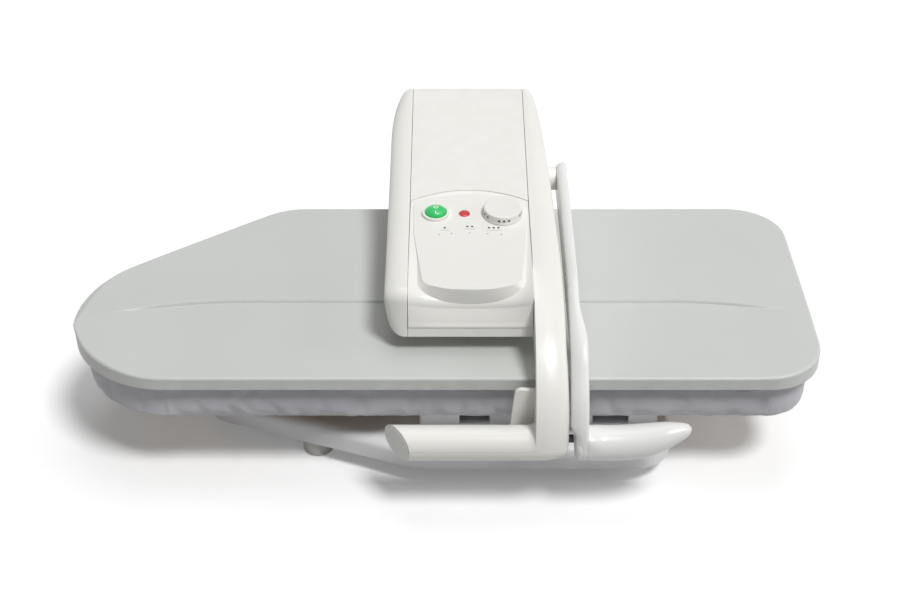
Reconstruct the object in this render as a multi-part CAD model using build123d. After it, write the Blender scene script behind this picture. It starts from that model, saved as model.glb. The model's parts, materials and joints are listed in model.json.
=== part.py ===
from build123d import *
import os
from math import atan2, cos, degrees, hypot, radians, sin, tan

os.makedirs("parts", exist_ok=True)

# Steam ironing press, closed, standing on its four feet. Millimetres, floor at Z = 0.
# +X is the right hand of the person who uses it, and -Y points at that person.

# Plan of the pressing shoe: a long plate with a pointed nose at the left
cover_length = 652.5
cover_depth = 268.0
cover_front = -153.0
nose_radius = 90.0
nose_slant = 38.2
heel_radius = 60.0
rear_corner_radius = 50.0
front_corner_radius = 48.0
least_corner_radius = 12.0

# Heights that stack up from the floor
foot_height = 18.0
base_wall_height = 22.0
table_gap = 28.0
table_thickness = 39.0
cover_height = 17.0
housing_gap = 12.5

# Walls and clearances
clearance = 0.3
running_clearance = 0.05
seam = 0.4
plastic_wall = 2.5
cover_wall = 2.0

# Base tray in plan
base_right = 203.0
base_front = -152.0
base_rear = 196.0
base_front_corner_x = -23.0
base_tip_x = -222.0
base_tip_y = -79.0
base_rear_left_x = -150.0
base_corner_radius = 35.0
base_tip_radius = 28.0
base_front_bend_radius = 70.0
base_rear_radius = 45.0
base_edge_round = 9.0
base_wall = 3.0
base_plate_thickness = 2.0

# Feet
foot_radius = 14.0
foot_round = 2.0
foot_recess_radius = 6.0
foot_recess_depth = 10.0
foot_left_x = -114.0
foot_right_x = 165.0
foot_front_y = -101.0
foot_rear_y = 150.0
boss_radius = 6.0
foot_screw_radius = 2.0
foot_screw_head_radius = 5.0
foot_screw_head_height = 3.0
foot_screw_length = 20.0

# Table: a board wrapped in a padded cloth cover, on a pedestal
pad_inset = 10.0
board_inset = 20.0
pad_hem_inset = 28.0
pad_hem = 3.7
board_thickness = 18.0
pad_bottom_round = 5.0
pad_top_round = 5.0
pedestal_left = -21.5
pedestal_right = 190.0
pedestal_gap = 5.0
pedestal_wall = 4.0
pedestal_window_left = 27.0
pedestal_window_inset_left = 35.5
pedestal_window_right = 32.0
pedestal_window_inset_right = 26.0
pedestal_window_height = 18.0
board_screw_radius = 2.5
board_screw_head_radius = 5.0
board_screw_head_height = 3.0
board_screw_length = 16.0
board_screw_inset = 22.0

# Pressing shoe
sole_inset = 2.5
sole_thickness = 5.0
cover_crease_y = -45.0
cover_front_drop = 3.5
cover_rear_drop = 3.0
cover_edge_round = 3.0
element_inset = 38.0
element_width = 7.0
element_height = 3.0
mat_inset = 10.0
mat_thickness = 1.5
carrier_left = -70.0
carrier_right = 126.0
carrier_front = -95.0
carrier_rear = 75.0
carrier_thickness = 2.5
carrier_corner = 10.0
post_radius = 7.0
post_hole_clearance = 0.5
post_left_x = 3.0
post_right_x = 53.0
post_front_y = -78.0
post_rear_y = 60.0
cutout_radius = 7.5
cutout_height = 7.0
cutout_y = -10.0

# Rear hinge
hinge_y = 158.0
hinge_z = 88.0
hinge_cover_radius = 34.0
housing_overhang = 8.0
axle_radius = 6.0
bush_radius = 9.0
bush_flange_radius = 12.0
bush_flange = 2.2
ear_half_width = 13.0
ear_thickness = 4.0
ear_spacing = 56.0
ear_top = 14.0
bracket_plate_thickness = 4.0
bracket_width = 116.0
bracket_foot_depth = 66.0
bracket_bolt_radius = 2.5
bracket_bolt_head_radius = 5.0
bracket_bolt_head_height = 3.5
bracket_nut_height = 4.0
bracket_bolt_inset = 12.0
clip_gap = 0.6
clip_thickness = 1.2
clip_rim = 3.0
axle_overhang = 4.0
spring_wire_radius = 1.25
spring_coil_radius = 8.5
spring_turns = 5
spring_pitch = 3.2
spring_half_gap = 6.0
spring_leg_overshoot = 8.0
spring_pin_radius = 2.5
spring_pin_height = 32.0

# Head frame, a folded steel channel
frame_width = 70.0
frame_steel = 3.0
frame_front = -95.0
frame_floor_gap = 4.5
frame_low_wall = 14.0
frame_high_wall = 42.0
frame_cheek_radius = 18.0
terminal_front = -66.0
terminal_length = 40.0
terminal_depth = 16.0
terminal_height = 13.0
terminal_ways = 4
terminal_bore = 2.2

# Housing on the head
housing_left = -50.25
left_band = 20.0
panel_width = 107.0
right_band = 26.5
housing_front = -117.0
housing_front_top = -112.5
panel_front_z = 180.0
panel_rear_y = 19.0
panel_rear_z = 190.0
roof_slope = 8.4
roof_rear_radius = 14.5
left_taper = 20.0
left_taper_run = 80.0
right_taper = 22.0
right_taper_run = 380.0
housing_corner_radius = 12.0
housing_inner_corner = 10.0
shoulder_radius = 9.0
arm_edge_radius = 6.0
front_strip_height = 8.5
panel_arc_side_y = 18.0
panel_arc_middle_y = 33.3
tongue_front_side_y = -97.0
tongue_front_middle_y = -107.5
scoop_depth = 11.0
scoop_side_margin = 5.0
panel_wall_overlap = 10.0

# Handle on the right side shell, and the lever beside it
grip_y = -185.0
grip_z = 77.0
grip_radius = 15.0
grip_left = -49.75
grip_end_turn = 36.0
grip_parting = 0.5
arm_slot_rise = 8.5
arm_bottom = 62.0
arm_rear_y = -166.0
gusset_left = 55.0
gusset_top = 116.0
gusset_thickness = 4.0
gusset_corner = 14.0
lever_gap = 3.0
lever_thin = 9.5
lever_thick = 15.0
lever_jog_start_y = -108.0
lever_jog_end_y = -148.0
pivot_y = 88.0
pivot_z = 172.0
pivot_end_radius = 16.0
lever_shaft_radius = 5.0
pivot_boss_radius = 11.0
pivot_boss_depth = 12.0
fin_length = 94.0
fin_tip_radius = 3.0
fin_tip_rise = 15.0
fin_bend = 40.0
bumper_radius = 3.5
bumper_y = -188.0
bumper_z = 84.0
cam_radius = 11.0
cam_offset = 4.0
cam_width = 10.0

# Controls on the sloping panel: the rocker and lamp from its left edge, the knob from its right
rocker_inset = 23.25
pilot_inset = 48.95
knob_inset = 23.95
controls_y = -1.5
rocker_radius = 9.7
rocker_bore_clearance = 0.4
bezel_radius = 12.3
bezel_height = 2.6
rocker_rise = 4.0
rocker_tilt = 6.0
rocker_pivot_height = 0.5
switch_depth = 24.0
pilot_radius = 5.0
pilot_dome = 1.6
pilot_holder_radius = 6.5
pilot_lamp_radius = 2.5
pilot_holder_depth = 14.0
knob_radius = 17.8
knob_height = 9.6
knob_skirt = 1.2
knob_skirt_lip = 0.6
knob_round = 1.2
knob_gap = 0.4
knob_shaft_radius = 3.0
thermostat_side = 27.0
thermostat_depth = 19.0
side_screw_y = 112.0
side_screw_drop = 9.0
side_screw_radius = 2.6
side_screw_sink = 8.9
gland_x = 120.0
gland_radius = 8.0
gland_neck_radius = 6.0
gland_bore = 3.6
gland_flange = 4.0

# Places worked out from the sizes above
deck_z = foot_height + base_wall_height
pedestal_front = cover_front + pad_hem_inset + pedestal_gap
pedestal_rear = cover_front + cover_depth - pad_hem_inset - pedestal_gap
table_bottom = deck_z + table_gap
table_top = table_bottom + table_thickness
board_bottom = table_bottom + pad_hem + clearance
sole_bottom = table_top + clearance
sole_top = sole_bottom + sole_thickness
cover_bottom = table_top + 3 * clearance
cover_top = cover_bottom + cover_height
mat_bottom = sole_top + element_height
carrier_bottom = mat_bottom + mat_thickness
carrier_top = carrier_bottom + carrier_thickness
housing_bottom = cover_top + housing_gap
frame_floor = housing_bottom + frame_floor_gap
housing_rear = hinge_y + hinge_cover_radius + housing_overhang
panel_left = housing_left + left_band
panel_right = panel_left + panel_width
housing_right = panel_right + right_band
panel_middle = (panel_left + panel_right) / 2
rocker_x = panel_left + rocker_inset
pilot_x = panel_left + pilot_inset
knob_x = panel_right - knob_inset
frame_middle = (post_left_x + post_right_x) / 2
frame_left = frame_middle - frame_width / 2
frame_right = frame_middle + frame_width / 2
lever_left = housing_right + lever_gap
panel_slope = degrees(atan2(panel_rear_z - panel_front_z, panel_rear_y - housing_front_top))
roof_rear_z = panel_rear_z + (housing_rear - panel_rear_y) * tan(radians(roof_slope))


def keep(node, solid):
    """Write one named piece."""
    export_step(solid, "parts/" + node + ".step")


def block(x0, x1, y0, y1, z0, z1):
    """Plain block between two corners."""
    size = Box(x1 - x0, y1 - y0, z1 - z0, align=(Align.MIN, Align.MIN, Align.MIN))
    return Pos(x0, y0, z0) * size


def upright(x, y, z0, z1, radius):
    """Round bar along Z."""
    return Pos(x, y, z0) * Cylinder(radius, z1 - z0, align=(Align.CENTER, Align.CENTER, Align.MIN))


def crossbar(x0, x1, y, z, radius):
    """Round bar along X, between two places in either order."""
    bar = Cylinder(radius, abs(x1 - x0), align=(Align.CENTER, Align.CENTER, Align.MIN))
    return Pos(min(x0, x1), y, z) * Rot(0, 90, 0) * bar


def rod_along_y(x, z, y0, y1, radius):
    """Round bar along Y."""
    bar = Cylinder(radius, y1 - y0, align=(Align.CENTER, Align.CENTER, Align.MIN))
    return Pos(x, y0, z) * Rot(-90, 0, 0) * bar


def slab(outline, z0, z1):
    """Plan outline raised from z0 to z1."""
    return extrude(Pos(0, 0, z0) * outline, amount=z1 - z0)


def across(profile, x0, x1):
    """Side profile, drawn as (Y, Z), drawn out along X."""
    return extrude(Plane.YZ.offset(x0) * profile, amount=x1 - x0)


def rounded(points):
    """Closed face from (u, v, corner radius) points."""
    line = FilletPolyline(*[(u, v) for u, v, r in points], radius=[r for u, v, r in points], close=True)
    return make_face(line)


def press_outline(inset):
    """Outline of the pressing shoe in plan, moved inwards."""
    left = -cover_length / 2
    front = cover_front + inset
    rear = cover_front + cover_depth - inset
    right = cover_length / 2 - inset
    slant = radians(nose_slant)
    nose = nose_radius - inset
    touch_x = left + nose_radius - nose * sin(slant)
    touch_y = cover_front + nose_radius + nose * cos(slant)
    return rounded([
        (right, rear, max(rear_corner_radius - inset, least_corner_radius)),
        (right, front, max(front_corner_radius - inset, least_corner_radius)),
        (touch_x + (front - touch_y) / tan(slant), front, nose),
        (touch_x + (rear - touch_y) / tan(slant), rear, max(heel_radius - inset, least_corner_radius)),
    ])


def base_outline():
    """Outline of the base tray in plan."""
    return rounded([
        (base_right, base_rear, base_rear_radius),
        (base_right, base_front, base_corner_radius),
        (base_front_corner_x, base_front, base_front_bend_radius),
        (base_tip_x, base_tip_y, base_tip_radius),
        (base_rear_left_x, base_rear, base_rear_radius),
    ])


def housing_profile(with_arm):
    """Side view of the housing, with or without the handle arm in front of it."""
    rear = [
        (housing_front_top, panel_front_z, housing_corner_radius),
        (panel_rear_y, panel_rear_z, 0),
        (housing_rear, roof_rear_z, roof_rear_radius),
        (housing_rear, hinge_z - hinge_cover_radius, hinge_cover_radius - 0.01),
        (hinge_y - hinge_cover_radius, hinge_z - hinge_cover_radius, hinge_cover_radius - 0.01),
        (hinge_y - hinge_cover_radius, housing_bottom, housing_inner_corner),
    ]
    if not with_arm:
        return rounded(rear + [(housing_front, housing_bottom, 0)])
    arm = [
        (arm_rear_y + 16, housing_bottom, 8),
        (arm_rear_y, housing_bottom - 16, 12),
        (arm_rear_y, arm_bottom, 12),
        (grip_y - grip_radius, arm_bottom, 13),
        (grip_y - 8, arm_bottom + 50, 95),
        (grip_y + 35, panel_front_z - 22, 95),
        (grip_y + 100, panel_front_z + 3, 95),
    ]
    return rounded(rear[1:] + arm)


def rear_waste(inset):
    """What lies outside the housing's plan, whose sides draw in towards the rear, moved inwards."""
    margin = 2 * plastic_wall
    rear = housing_rear - inset
    low = hinge_z - hinge_cover_radius - margin
    sides = (
        (housing_left + inset, -1, left_taper, left_taper_run),
        (housing_right - inset, 1, right_taper, right_taper_run),
    )
    waste = []
    for side, away, taper, run in sides:
        centre = (side - away * taper, rear - run)
        radii = taper + running_clearance, run + running_clearance
        arc = EllipticalCenterArc(centre, *radii, start_angle=45 - 45 * away, arc_size=90)
        beside, behind = (arc @ 0, arc @ 1)[::away]
        outer = side + away * margin
        corners = (behind.X, rear + margin), (outer, rear + margin), (outer, beside.Y)
        waste.append(slab(make_face(arc + Polyline(behind, *corners, beside)), low, roof_rear_z))
    return waste


def lever_profile():
    """Side view of the pressure lever."""
    top = pivot_z + pivot_end_radius
    low = pivot_z - pivot_end_radius
    end = pivot_y + pivot_end_radius
    return rounded([
        (end, top, pivot_end_radius - 0.5),
        (end, low, pivot_end_radius - 0.5),
        (grip_y + 125, low - 9, 60),
        (grip_y + 38, low - 20, 20),
        (arm_rear_y - 3, low - 46, 25),
        (arm_rear_y - 3, arm_bottom, 10),
        (grip_y - grip_radius + 2, arm_bottom, 12),
        (grip_y - 5, arm_bottom + 48, 80),
        (grip_y + 36, low, 80),
        (grip_y + 105, top - 10, 80),
    ])


def on_panel(x, y):
    """Place on the panel's outer face, with Z square to the slope."""
    z = panel_front_z + (y - housing_front_top) * tan(radians(panel_slope))
    return Pos(x, y, z) * Rot(panel_slope, 0, 0)


def panel_plan(margin):
    """Plan of the control panel, whose rear edge is an arc, grown by a margin."""
    front = housing_front - 10
    left = panel_left - margin
    right = panel_right + margin
    side = panel_arc_side_y + margin
    arc = ThreePointArc((left, side), (panel_middle, panel_arc_middle_y + margin), (right, side))
    edges = Polyline((right, side), (right, front), (left, front), (left, side))
    return make_face(arc + edges)


def scoop_plan(margin):
    """Plan of the recess in front of the tongue, whose rear edge is an arc."""
    left = panel_left + scoop_side_margin - margin
    right = panel_right - scoop_side_margin + margin
    side = tongue_front_side_y + margin
    middle = tongue_front_middle_y + margin
    front = housing_front - 10
    arc = ThreePointArc((left, side), (panel_middle, middle), (right, side))
    edges = Polyline((right, side), (right, front), (left, front), (left, side))
    return make_face(arc + edges)


foot_places = [(x, y) for x in (foot_left_x, foot_right_x) for y in (foot_front_y, foot_rear_y)]
post_places = [(x, y) for x in (post_left_x, post_right_x) for y in (post_front_y, post_rear_y)]


def make_base():
    """Tray, its closing plate, feet and the mains gland."""
    outline = base_outline()
    shell = slab(outline, foot_height, deck_z)
    shell = fillet(shell.faces().sort_by(Axis.Z)[-1].edges(), base_edge_round)
    inside = slab(offset(outline, amount=-base_wall), foot_height, deck_z - base_wall)
    inside = fillet(inside.faces().sort_by(Axis.Z)[-1].edges(), base_edge_round - base_wall)
    shell -= inside
    plate_top = foot_height + base_plate_thickness
    for x, y in foot_places:
        shell += upright(x, y, plate_top, deck_z - base_wall, boss_radius)
        shell -= upright(x, y, plate_top, deck_z - base_wall, foot_screw_radius + running_clearance)
    for x, y in bracket_bolt_places():
        shell -= upright(x, y, foot_height, deck_z, bracket_bolt_radius + running_clearance)
    gland_z = foot_height + base_wall_height / 2
    shell -= rod_along_y(gland_x, gland_z, base_rear - 2 * base_wall, base_rear, gland_neck_radius)
    keep("base_shell", shell)

    plate = slab(offset(outline, amount=-base_wall - clearance), foot_height, plate_top)
    for x, y in foot_places:
        plate -= upright(x, y, foot_height, plate_top, foot_screw_radius + clearance)
    keep("base_bottom_plate", plate)

    feet = []
    screws = []
    for x, y in foot_places:
        foot = upright(x, y, 0, foot_height, foot_radius)
        foot = fillet(foot.edges().group_by(Axis.Z)[0], foot_round)
        foot -= upright(x, y, 0, foot_recess_depth, foot_recess_radius)
        foot -= upright(x, y, 0, foot_height, foot_screw_radius + clearance)
        feet.append(foot)
        seat = foot_recess_depth
        head = upright(x, y, seat - foot_screw_head_height, seat, foot_screw_head_radius)
        screws.append(head + upright(x, y, seat, seat + foot_screw_length, foot_screw_radius))
    keep("feet", Compound(feet))
    keep("foot_screws", Compound(screws))

    gland = rod_along_y(gland_x, gland_z, base_rear, base_rear + gland_flange, gland_radius)
    gland += rod_along_y(gland_x, gland_z, base_rear - 2 * base_wall, base_rear, gland_neck_radius)
    gland -= rod_along_y(gland_x, gland_z, base_rear - 2 * base_wall, base_rear + gland_flange, gland_bore)
    keep("mains_gland", gland)


def bracket_bolt_places():
    """Centres of the bolts that hold the hinge bracket on the deck."""
    half_x = bracket_width / 2 - bracket_bolt_inset
    half_y = bracket_foot_depth / 2 - bracket_bolt_inset
    return [(frame_middle + sx * half_x, hinge_y + sy * half_y) for sx in (-1, 1) for sy in (-1, 1)]


def make_table():
    """Pedestal, board and padded cloth cover."""
    width = pedestal_right - pedestal_left
    depth = pedestal_rear - pedestal_front
    middle = Pos((pedestal_left + pedestal_right) / 2, (pedestal_front + pedestal_rear) / 2)
    outer = middle * RectangleRounded(width, depth, pedestal_wall - clearance)
    top_plate_low = board_bottom - pedestal_wall
    top_plate = slab(outer, top_plate_low, board_bottom)
    inner_left = pedestal_left + pedestal_wall
    inner_right = pedestal_right - pedestal_wall
    inner_front = pedestal_front + pedestal_wall
    inner_rear = pedestal_rear - pedestal_wall
    walls = [block(inner_left, inner_right, inner_rear, pedestal_rear, deck_z, top_plate_low)]
    for low, high in ((inner_left, pedestal_right), (pedestal_left, inner_right)):
        rest = block(low, high, pedestal_front, pedestal_rear, deck_z, top_plate_low)
        walls.append(slab(outer, deck_z, top_plate_low) - rest)
    front_wall = block(inner_left, inner_right, pedestal_front, inner_front, deck_z, top_plate_low)
    window_low = deck_z + pedestal_wall
    window_high = window_low + pedestal_window_height
    first = pedestal_left + pedestal_window_inset_left
    last = pedestal_right - pedestal_window_inset_right
    for low, high in ((first, first + pedestal_window_left), (last - pedestal_window_right, last)):
        front_wall -= block(low, high, pedestal_front, inner_front, window_low, window_high)
    walls.append(front_wall)
    screw_places = [
        (x, y)
        for x in (pedestal_left + board_screw_inset, pedestal_right - board_screw_inset)
        for y in (pedestal_front + board_screw_inset, pedestal_rear - board_screw_inset)
    ]
    for x, y in screw_places:
        top_plate -= upright(x, y, top_plate_low, board_bottom, board_screw_radius + running_clearance)
    keep("board_pedestal", Compound([top_plate, *walls]))

    board = slab(press_outline(board_inset), board_bottom, board_bottom + board_thickness)
    screws = []
    for x, y in screw_places:
        top = top_plate_low + board_screw_length
        board -= upright(x, y, board_bottom, top, board_screw_radius + running_clearance)
        head = upright(x, y, top_plate_low - board_screw_head_height, top_plate_low, board_screw_head_radius)
        screws.append(head + upright(x, y, top_plate_low, top, board_screw_radius))
    keep("table_board", board)
    keep("board_screws", Compound(screws))

    pad = slab(press_outline(pad_inset), table_bottom, table_top)
    pad = fillet(pad.faces().sort_by(Axis.Z)[0].edges(), pad_bottom_round)
    pad = fillet(pad.faces().sort_by(Axis.Z)[-1].edges(), pad_top_round)
    board_room_top = board_bottom + board_thickness + clearance
    pad -= slab(press_outline(board_inset - clearance), table_bottom + pad_hem, board_room_top)
    pad -= slab(press_outline(pad_hem_inset), table_bottom, table_bottom + pad_hem)
    keep("table_pad", pad)


def make_shoe():
    """Heated sole plate, its element and mat, the carrier and the cover."""
    keep("sole_plate", slab(press_outline(sole_inset), sole_bottom, sole_top))

    ring = press_outline(element_inset) - press_outline(element_inset + element_width)
    keep("heating_element", slab(ring, sole_top, mat_bottom))

    mat = slab(press_outline(mat_inset), mat_bottom, carrier_bottom)
    carrier_width = carrier_right - carrier_left
    carrier_depth = carrier_rear - carrier_front
    carrier_plan = Pos((carrier_left + carrier_right) / 2, (carrier_front + carrier_rear) / 2)
    carrier_plan *= RectangleRounded(carrier_width, carrier_depth, carrier_corner)
    carrier = slab(carrier_plan, carrier_bottom, carrier_top)
    spacers = []
    posts = []
    for x, y in post_places:
        mat -= upright(x, y, mat_bottom, carrier_bottom, post_radius + clearance)
        spacers.append(upright(x, y, sole_top, carrier_bottom, post_radius))
        posts.append(upright(x, y, carrier_top, frame_floor, post_radius))
    mat -= upright(frame_middle, cutout_y, mat_bottom, carrier_bottom, cutout_radius + clearance)
    carrier -= upright(frame_middle, cutout_y, carrier_bottom, carrier_top, cutout_radius + clearance)
    keep("insulation_mat", mat)
    keep("shoe_carrier", carrier)
    keep("sole_spacers", Compound(spacers))
    keep("shoe_posts", Compound(posts))
    cutout = upright(frame_middle, cutout_y, sole_top, sole_top + cutout_height, cutout_radius)
    keep("thermal_cutout", cutout)

    cover = slab(press_outline(0), cover_bottom, cover_top) - above_crest(0)
    rim = [edge for edge in cover.edges() if edge.bounding_box().min.Z > cover_bottom + cover_height / 2]
    cover = fillet([edge for edge in rim if not on_crease(edge)], cover_edge_round)
    cover -= slab(press_outline(cover_wall), cover_bottom, cover_top) - above_crest(cover_wall)
    for x, y in post_places:
        cover -= upright(x, y, carrier_top, cover_top, post_radius + post_hole_clearance)
    keep("shoe_cover", cover)


def above_crest(drop):
    """All that lies over the creased top: a slope before the crease and a wide arc behind it."""
    rear = cover_front + cover_depth
    run = rear - cover_crease_y
    arc_radius = (run ** 2 + cover_rear_drop ** 2) / (2 * cover_rear_drop)
    margin = 2 * cover_wall
    crease_z = cover_top - drop

    def arc_point(y):
        """Point of the rear arc, which is level at the crease."""
        return y, crease_z - arc_radius + (arc_radius ** 2 - (y - cover_crease_y) ** 2) ** 0.5

    front_y = cover_front - margin
    front_z = crease_z - cover_front_drop * (cover_crease_y - front_y) / (cover_crease_y - cover_front)
    end = arc_point(rear + margin)
    arc = ThreePointArc((cover_crease_y, crease_z), arc_point((cover_crease_y + rear) / 2), end)
    high = cover_top + cover_height
    corners = (rear + margin, high), (front_y, high), (front_y, front_z), (cover_crease_y, crease_z)
    rest = Polyline(end, *corners)
    return across(make_face(arc + rest), -cover_length, cover_length)


def on_crease(edge):
    """Says whether an edge is the crease across the cover."""
    box = edge.bounding_box()
    return abs(box.min.Y - cover_crease_y) < 0.01 and abs(box.max.Y - cover_crease_y) < 0.01


def make_hinge():
    """Bracket, axle, bushes and lifting springs at the rear."""
    ear_left = frame_middle - ear_spacing / 2
    plate = block(
        frame_middle - bracket_width / 2, frame_middle + bracket_width / 2,
        hinge_y - bracket_foot_depth / 2, hinge_y + bracket_foot_depth / 2,
        deck_z, deck_z + bracket_plate_thickness,
    )
    ear = rounded([
        (hinge_y - ear_half_width - 6, deck_z, 0),
        (hinge_y - ear_half_width, deck_z + 16, 0),
        (hinge_y - ear_half_width, hinge_z + ear_top, ear_half_width - 1),
        (hinge_y + ear_half_width, hinge_z + ear_top, ear_half_width - 1),
        (hinge_y + ear_half_width, deck_z + 16, 0),
        (hinge_y + ear_half_width + 6, deck_z, 0),
    ])
    bracket = plate
    for low in (ear_left, ear_left + ear_spacing - ear_thickness):
        bracket += across(ear, low, low + ear_thickness)
    axle_room = axle_radius + running_clearance
    bracket -= crossbar(ear_left, ear_left + ear_spacing, hinge_y, hinge_z, axle_room)
    bolts = []
    nut_low = deck_z - base_wall - bracket_nut_height
    head_low = deck_z + bracket_plate_thickness
    for x, y in bracket_bolt_places():
        bracket -= upright(x, y, deck_z, head_low, bracket_bolt_radius + running_clearance)
        bolt = upright(x, y, head_low, head_low + bracket_bolt_head_height, bracket_bolt_head_radius)
        bolt += upright(x, y, nut_low, head_low, bracket_bolt_radius)
        bolt += upright(x, y, nut_low, deck_z - base_wall, bracket_bolt_head_radius)
        bolts.append(bolt)
    keep("hinge_bracket", bracket)
    keep("bracket_bolts", Compound(bolts))
    axle = crossbar(frame_left - axle_overhang, frame_right + axle_overhang, hinge_y, hinge_z, axle_radius)
    keep("hinge_axle", axle)

    clips = []
    bushes = []
    for side, face in ((-1, frame_left), (1, frame_right)):
        clip_near = face + side * clip_gap
        clip_far = clip_near + side * clip_thickness
        clip = crossbar(clip_near, clip_far, hinge_y, hinge_z, axle_radius + clip_rim)
        clips.append(clip - crossbar(clip_near, clip_far, hinge_y, hinge_z, axle_radius))
        inner_face = face - side * frame_steel
        flange_end = inner_face - side * bush_flange
        bush = crossbar(face, inner_face, hinge_y, hinge_z, bush_radius)
        bush += crossbar(inner_face, flange_end, hinge_y, hinge_z, bush_flange_radius)
        bushes.append(bush - crossbar(face, flange_end, hinge_y, hinge_z, axle_room))
    keep("axle_clips", Compound(clips))
    keep("hinge_bushes", Compound(bushes))

    helix = Helix(pitch=spring_pitch, height=spring_turns * spring_pitch, radius=spring_coil_radius)
    section = Plane(origin=helix @ 0, z_dir=helix % 0) * Circle(spring_wire_radius)
    coil = Rot(90, 0, 0) * Rot(0, 90, 0) * sweep(section, path=helix)
    start = frame_middle + spring_half_gap
    spring = Pos(start, hinge_y, hinge_z) * coil
    leg_y = hinge_y + spring_coil_radius
    pin_top = hinge_z + spring_pin_height + spring_leg_overshoot
    spring += upright(start, leg_y, deck_z + bracket_plate_thickness, hinge_z, spring_wire_radius)
    spring += upright(start + spring_turns * spring_pitch, leg_y, hinge_z, pin_top, spring_wire_radius)
    springs = [spring, mirror(spring, about=Plane.YZ.offset(frame_middle))]
    keep("lifting_springs", Compound(springs))


def make_frame():
    """Folded channel that carries the shoe and turns on the axle."""
    cheek = rounded([
        (frame_front, frame_floor, 0),
        (frame_front, frame_floor + frame_low_wall, 5),
        (45, frame_floor + frame_low_wall, 15),
        (hinge_y - 68, frame_floor + frame_high_wall, 15),
        (hinge_y - 8, frame_floor + frame_high_wall, 15),
        (hinge_y + frame_cheek_radius, frame_floor + 22, 15),
        (hinge_y + frame_cheek_radius, hinge_z - frame_cheek_radius, frame_cheek_radius - 0.01),
        (hinge_y - frame_cheek_radius, hinge_z - frame_cheek_radius, frame_cheek_radius - 0.01),
        (hinge_y - frame_cheek_radius, frame_floor, 8),
    ])
    floor_rear = hinge_y - frame_cheek_radius - 8
    frame = block(frame_left, frame_right, frame_front, floor_rear, frame_floor, frame_floor + frame_steel)
    frame += across(cheek, frame_left, frame_left + frame_steel)
    frame += across(cheek, frame_right - frame_steel, frame_right)
    frame -= crossbar(frame_left, frame_right, hinge_y, hinge_z, bush_radius)
    shaft_hole = lever_shaft_radius + running_clearance
    frame -= crossbar(frame_right - frame_steel, frame_right, pivot_y, pivot_z, shaft_hole)
    screws = []
    for x, y in post_places:
        frame -= upright(x, y, frame_floor, frame_floor + frame_steel, board_screw_radius + running_clearance)
        top = frame_floor + frame_steel
        screw = upright(x, y, frame_floor, top, board_screw_radius)
        screws.append(screw + upright(x, y, top, top + board_screw_head_height, board_screw_head_radius))
    keep("head_frame", frame)
    keep("post_screws", Compound(screws))
    pin_y = hinge_y + spring_coil_radius + spring_wire_radius + spring_pin_radius + running_clearance
    pin_z = hinge_z + spring_pin_height
    pin = crossbar(frame_left + frame_steel, frame_right - frame_steel, pin_y, pin_z, spring_pin_radius)
    keep("spring_pin", pin)
    low = frame_floor + frame_steel
    left = frame_middle - terminal_length / 2
    front = terminal_front
    rear = terminal_front + terminal_depth
    terminal = block(left, left + terminal_length, front, rear, low, low + terminal_height)
    pitch = terminal_length / terminal_ways
    for way in range(terminal_ways):
        x = left + (way + 0.5) * pitch
        terminal -= rod_along_y(x, low + terminal_height / 2, front, rear, terminal_bore)
    keep("terminal_block", terminal)


def make_housing():
    """Side shells, roof, base plate and control panel, and the handle."""
    plain = housing_profile(False)
    plain_inside = offset(plain, amount=-plastic_wall)
    left_end = panel_left - seam / 2
    left_shell = across(plain, housing_left, left_end)
    left_shell = fillet(left_shell.faces().sort_by(Axis.X)[0].edges(), shoulder_radius)
    left_room = across(plain_inside, housing_left + plastic_wall, left_end)
    left_room = fillet(left_room.faces().sort_by(Axis.X)[0].edges(), shoulder_radius - plastic_wall)
    left_shell -= rear_waste(0)[0]
    keep("housing_left_shell", left_shell - (left_room - rear_waste(plastic_wall)[0]))

    ring = across(plain - plain_inside, panel_left + seam / 2, panel_right - seam / 2)
    strip_top = housing_bottom + front_strip_height
    plate_rear = hinge_y - hinge_cover_radius - housing_inner_corner
    lower = ring & block(panel_left, panel_right, housing_front, plate_rear, housing_bottom, strip_top)
    for x, y in post_places:
        lower -= upright(x, y, housing_bottom, strip_top, post_radius + post_hole_clearance)
    keep("housing_base_plate", lower)

    panel_high = roof_rear_z
    panel_room = slab(panel_plan(0), strip_top + seam, panel_high)
    panel = ring & panel_room
    scoop_floor = panel_front_z - scoop_depth
    pocket = slab(scoop_plan(plastic_wall), scoop_floor - plastic_wall, panel_high) & across(
        plain, panel_left + seam / 2, panel_right - seam / 2)
    panel += pocket
    panel -= slab(scoop_plan(0), scoop_floor, panel_high)
    for x, radius in (
        (rocker_x, rocker_radius + rocker_bore_clearance + 1),
        (pilot_x, pilot_radius + running_clearance),
        (knob_x, knob_shaft_radius + 1),
    ):
        panel -= on_panel(x, controls_y) * Cylinder(radius, 4 * plastic_wall)
    keep("control_panel", panel)

    roof_front = panel_arc_side_y - panel_wall_overlap
    roof_zone = block(panel_left, panel_right, roof_front, housing_rear, panel_front_z, roof_rear_z)
    roof_zone += block(panel_left, panel_right, hinge_y, housing_rear, hinge_z, roof_rear_z)
    roof = (ring & roof_zone) - slab(panel_plan(seam), strip_top, roof_rear_z)
    keep("housing_roof", roof)


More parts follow.
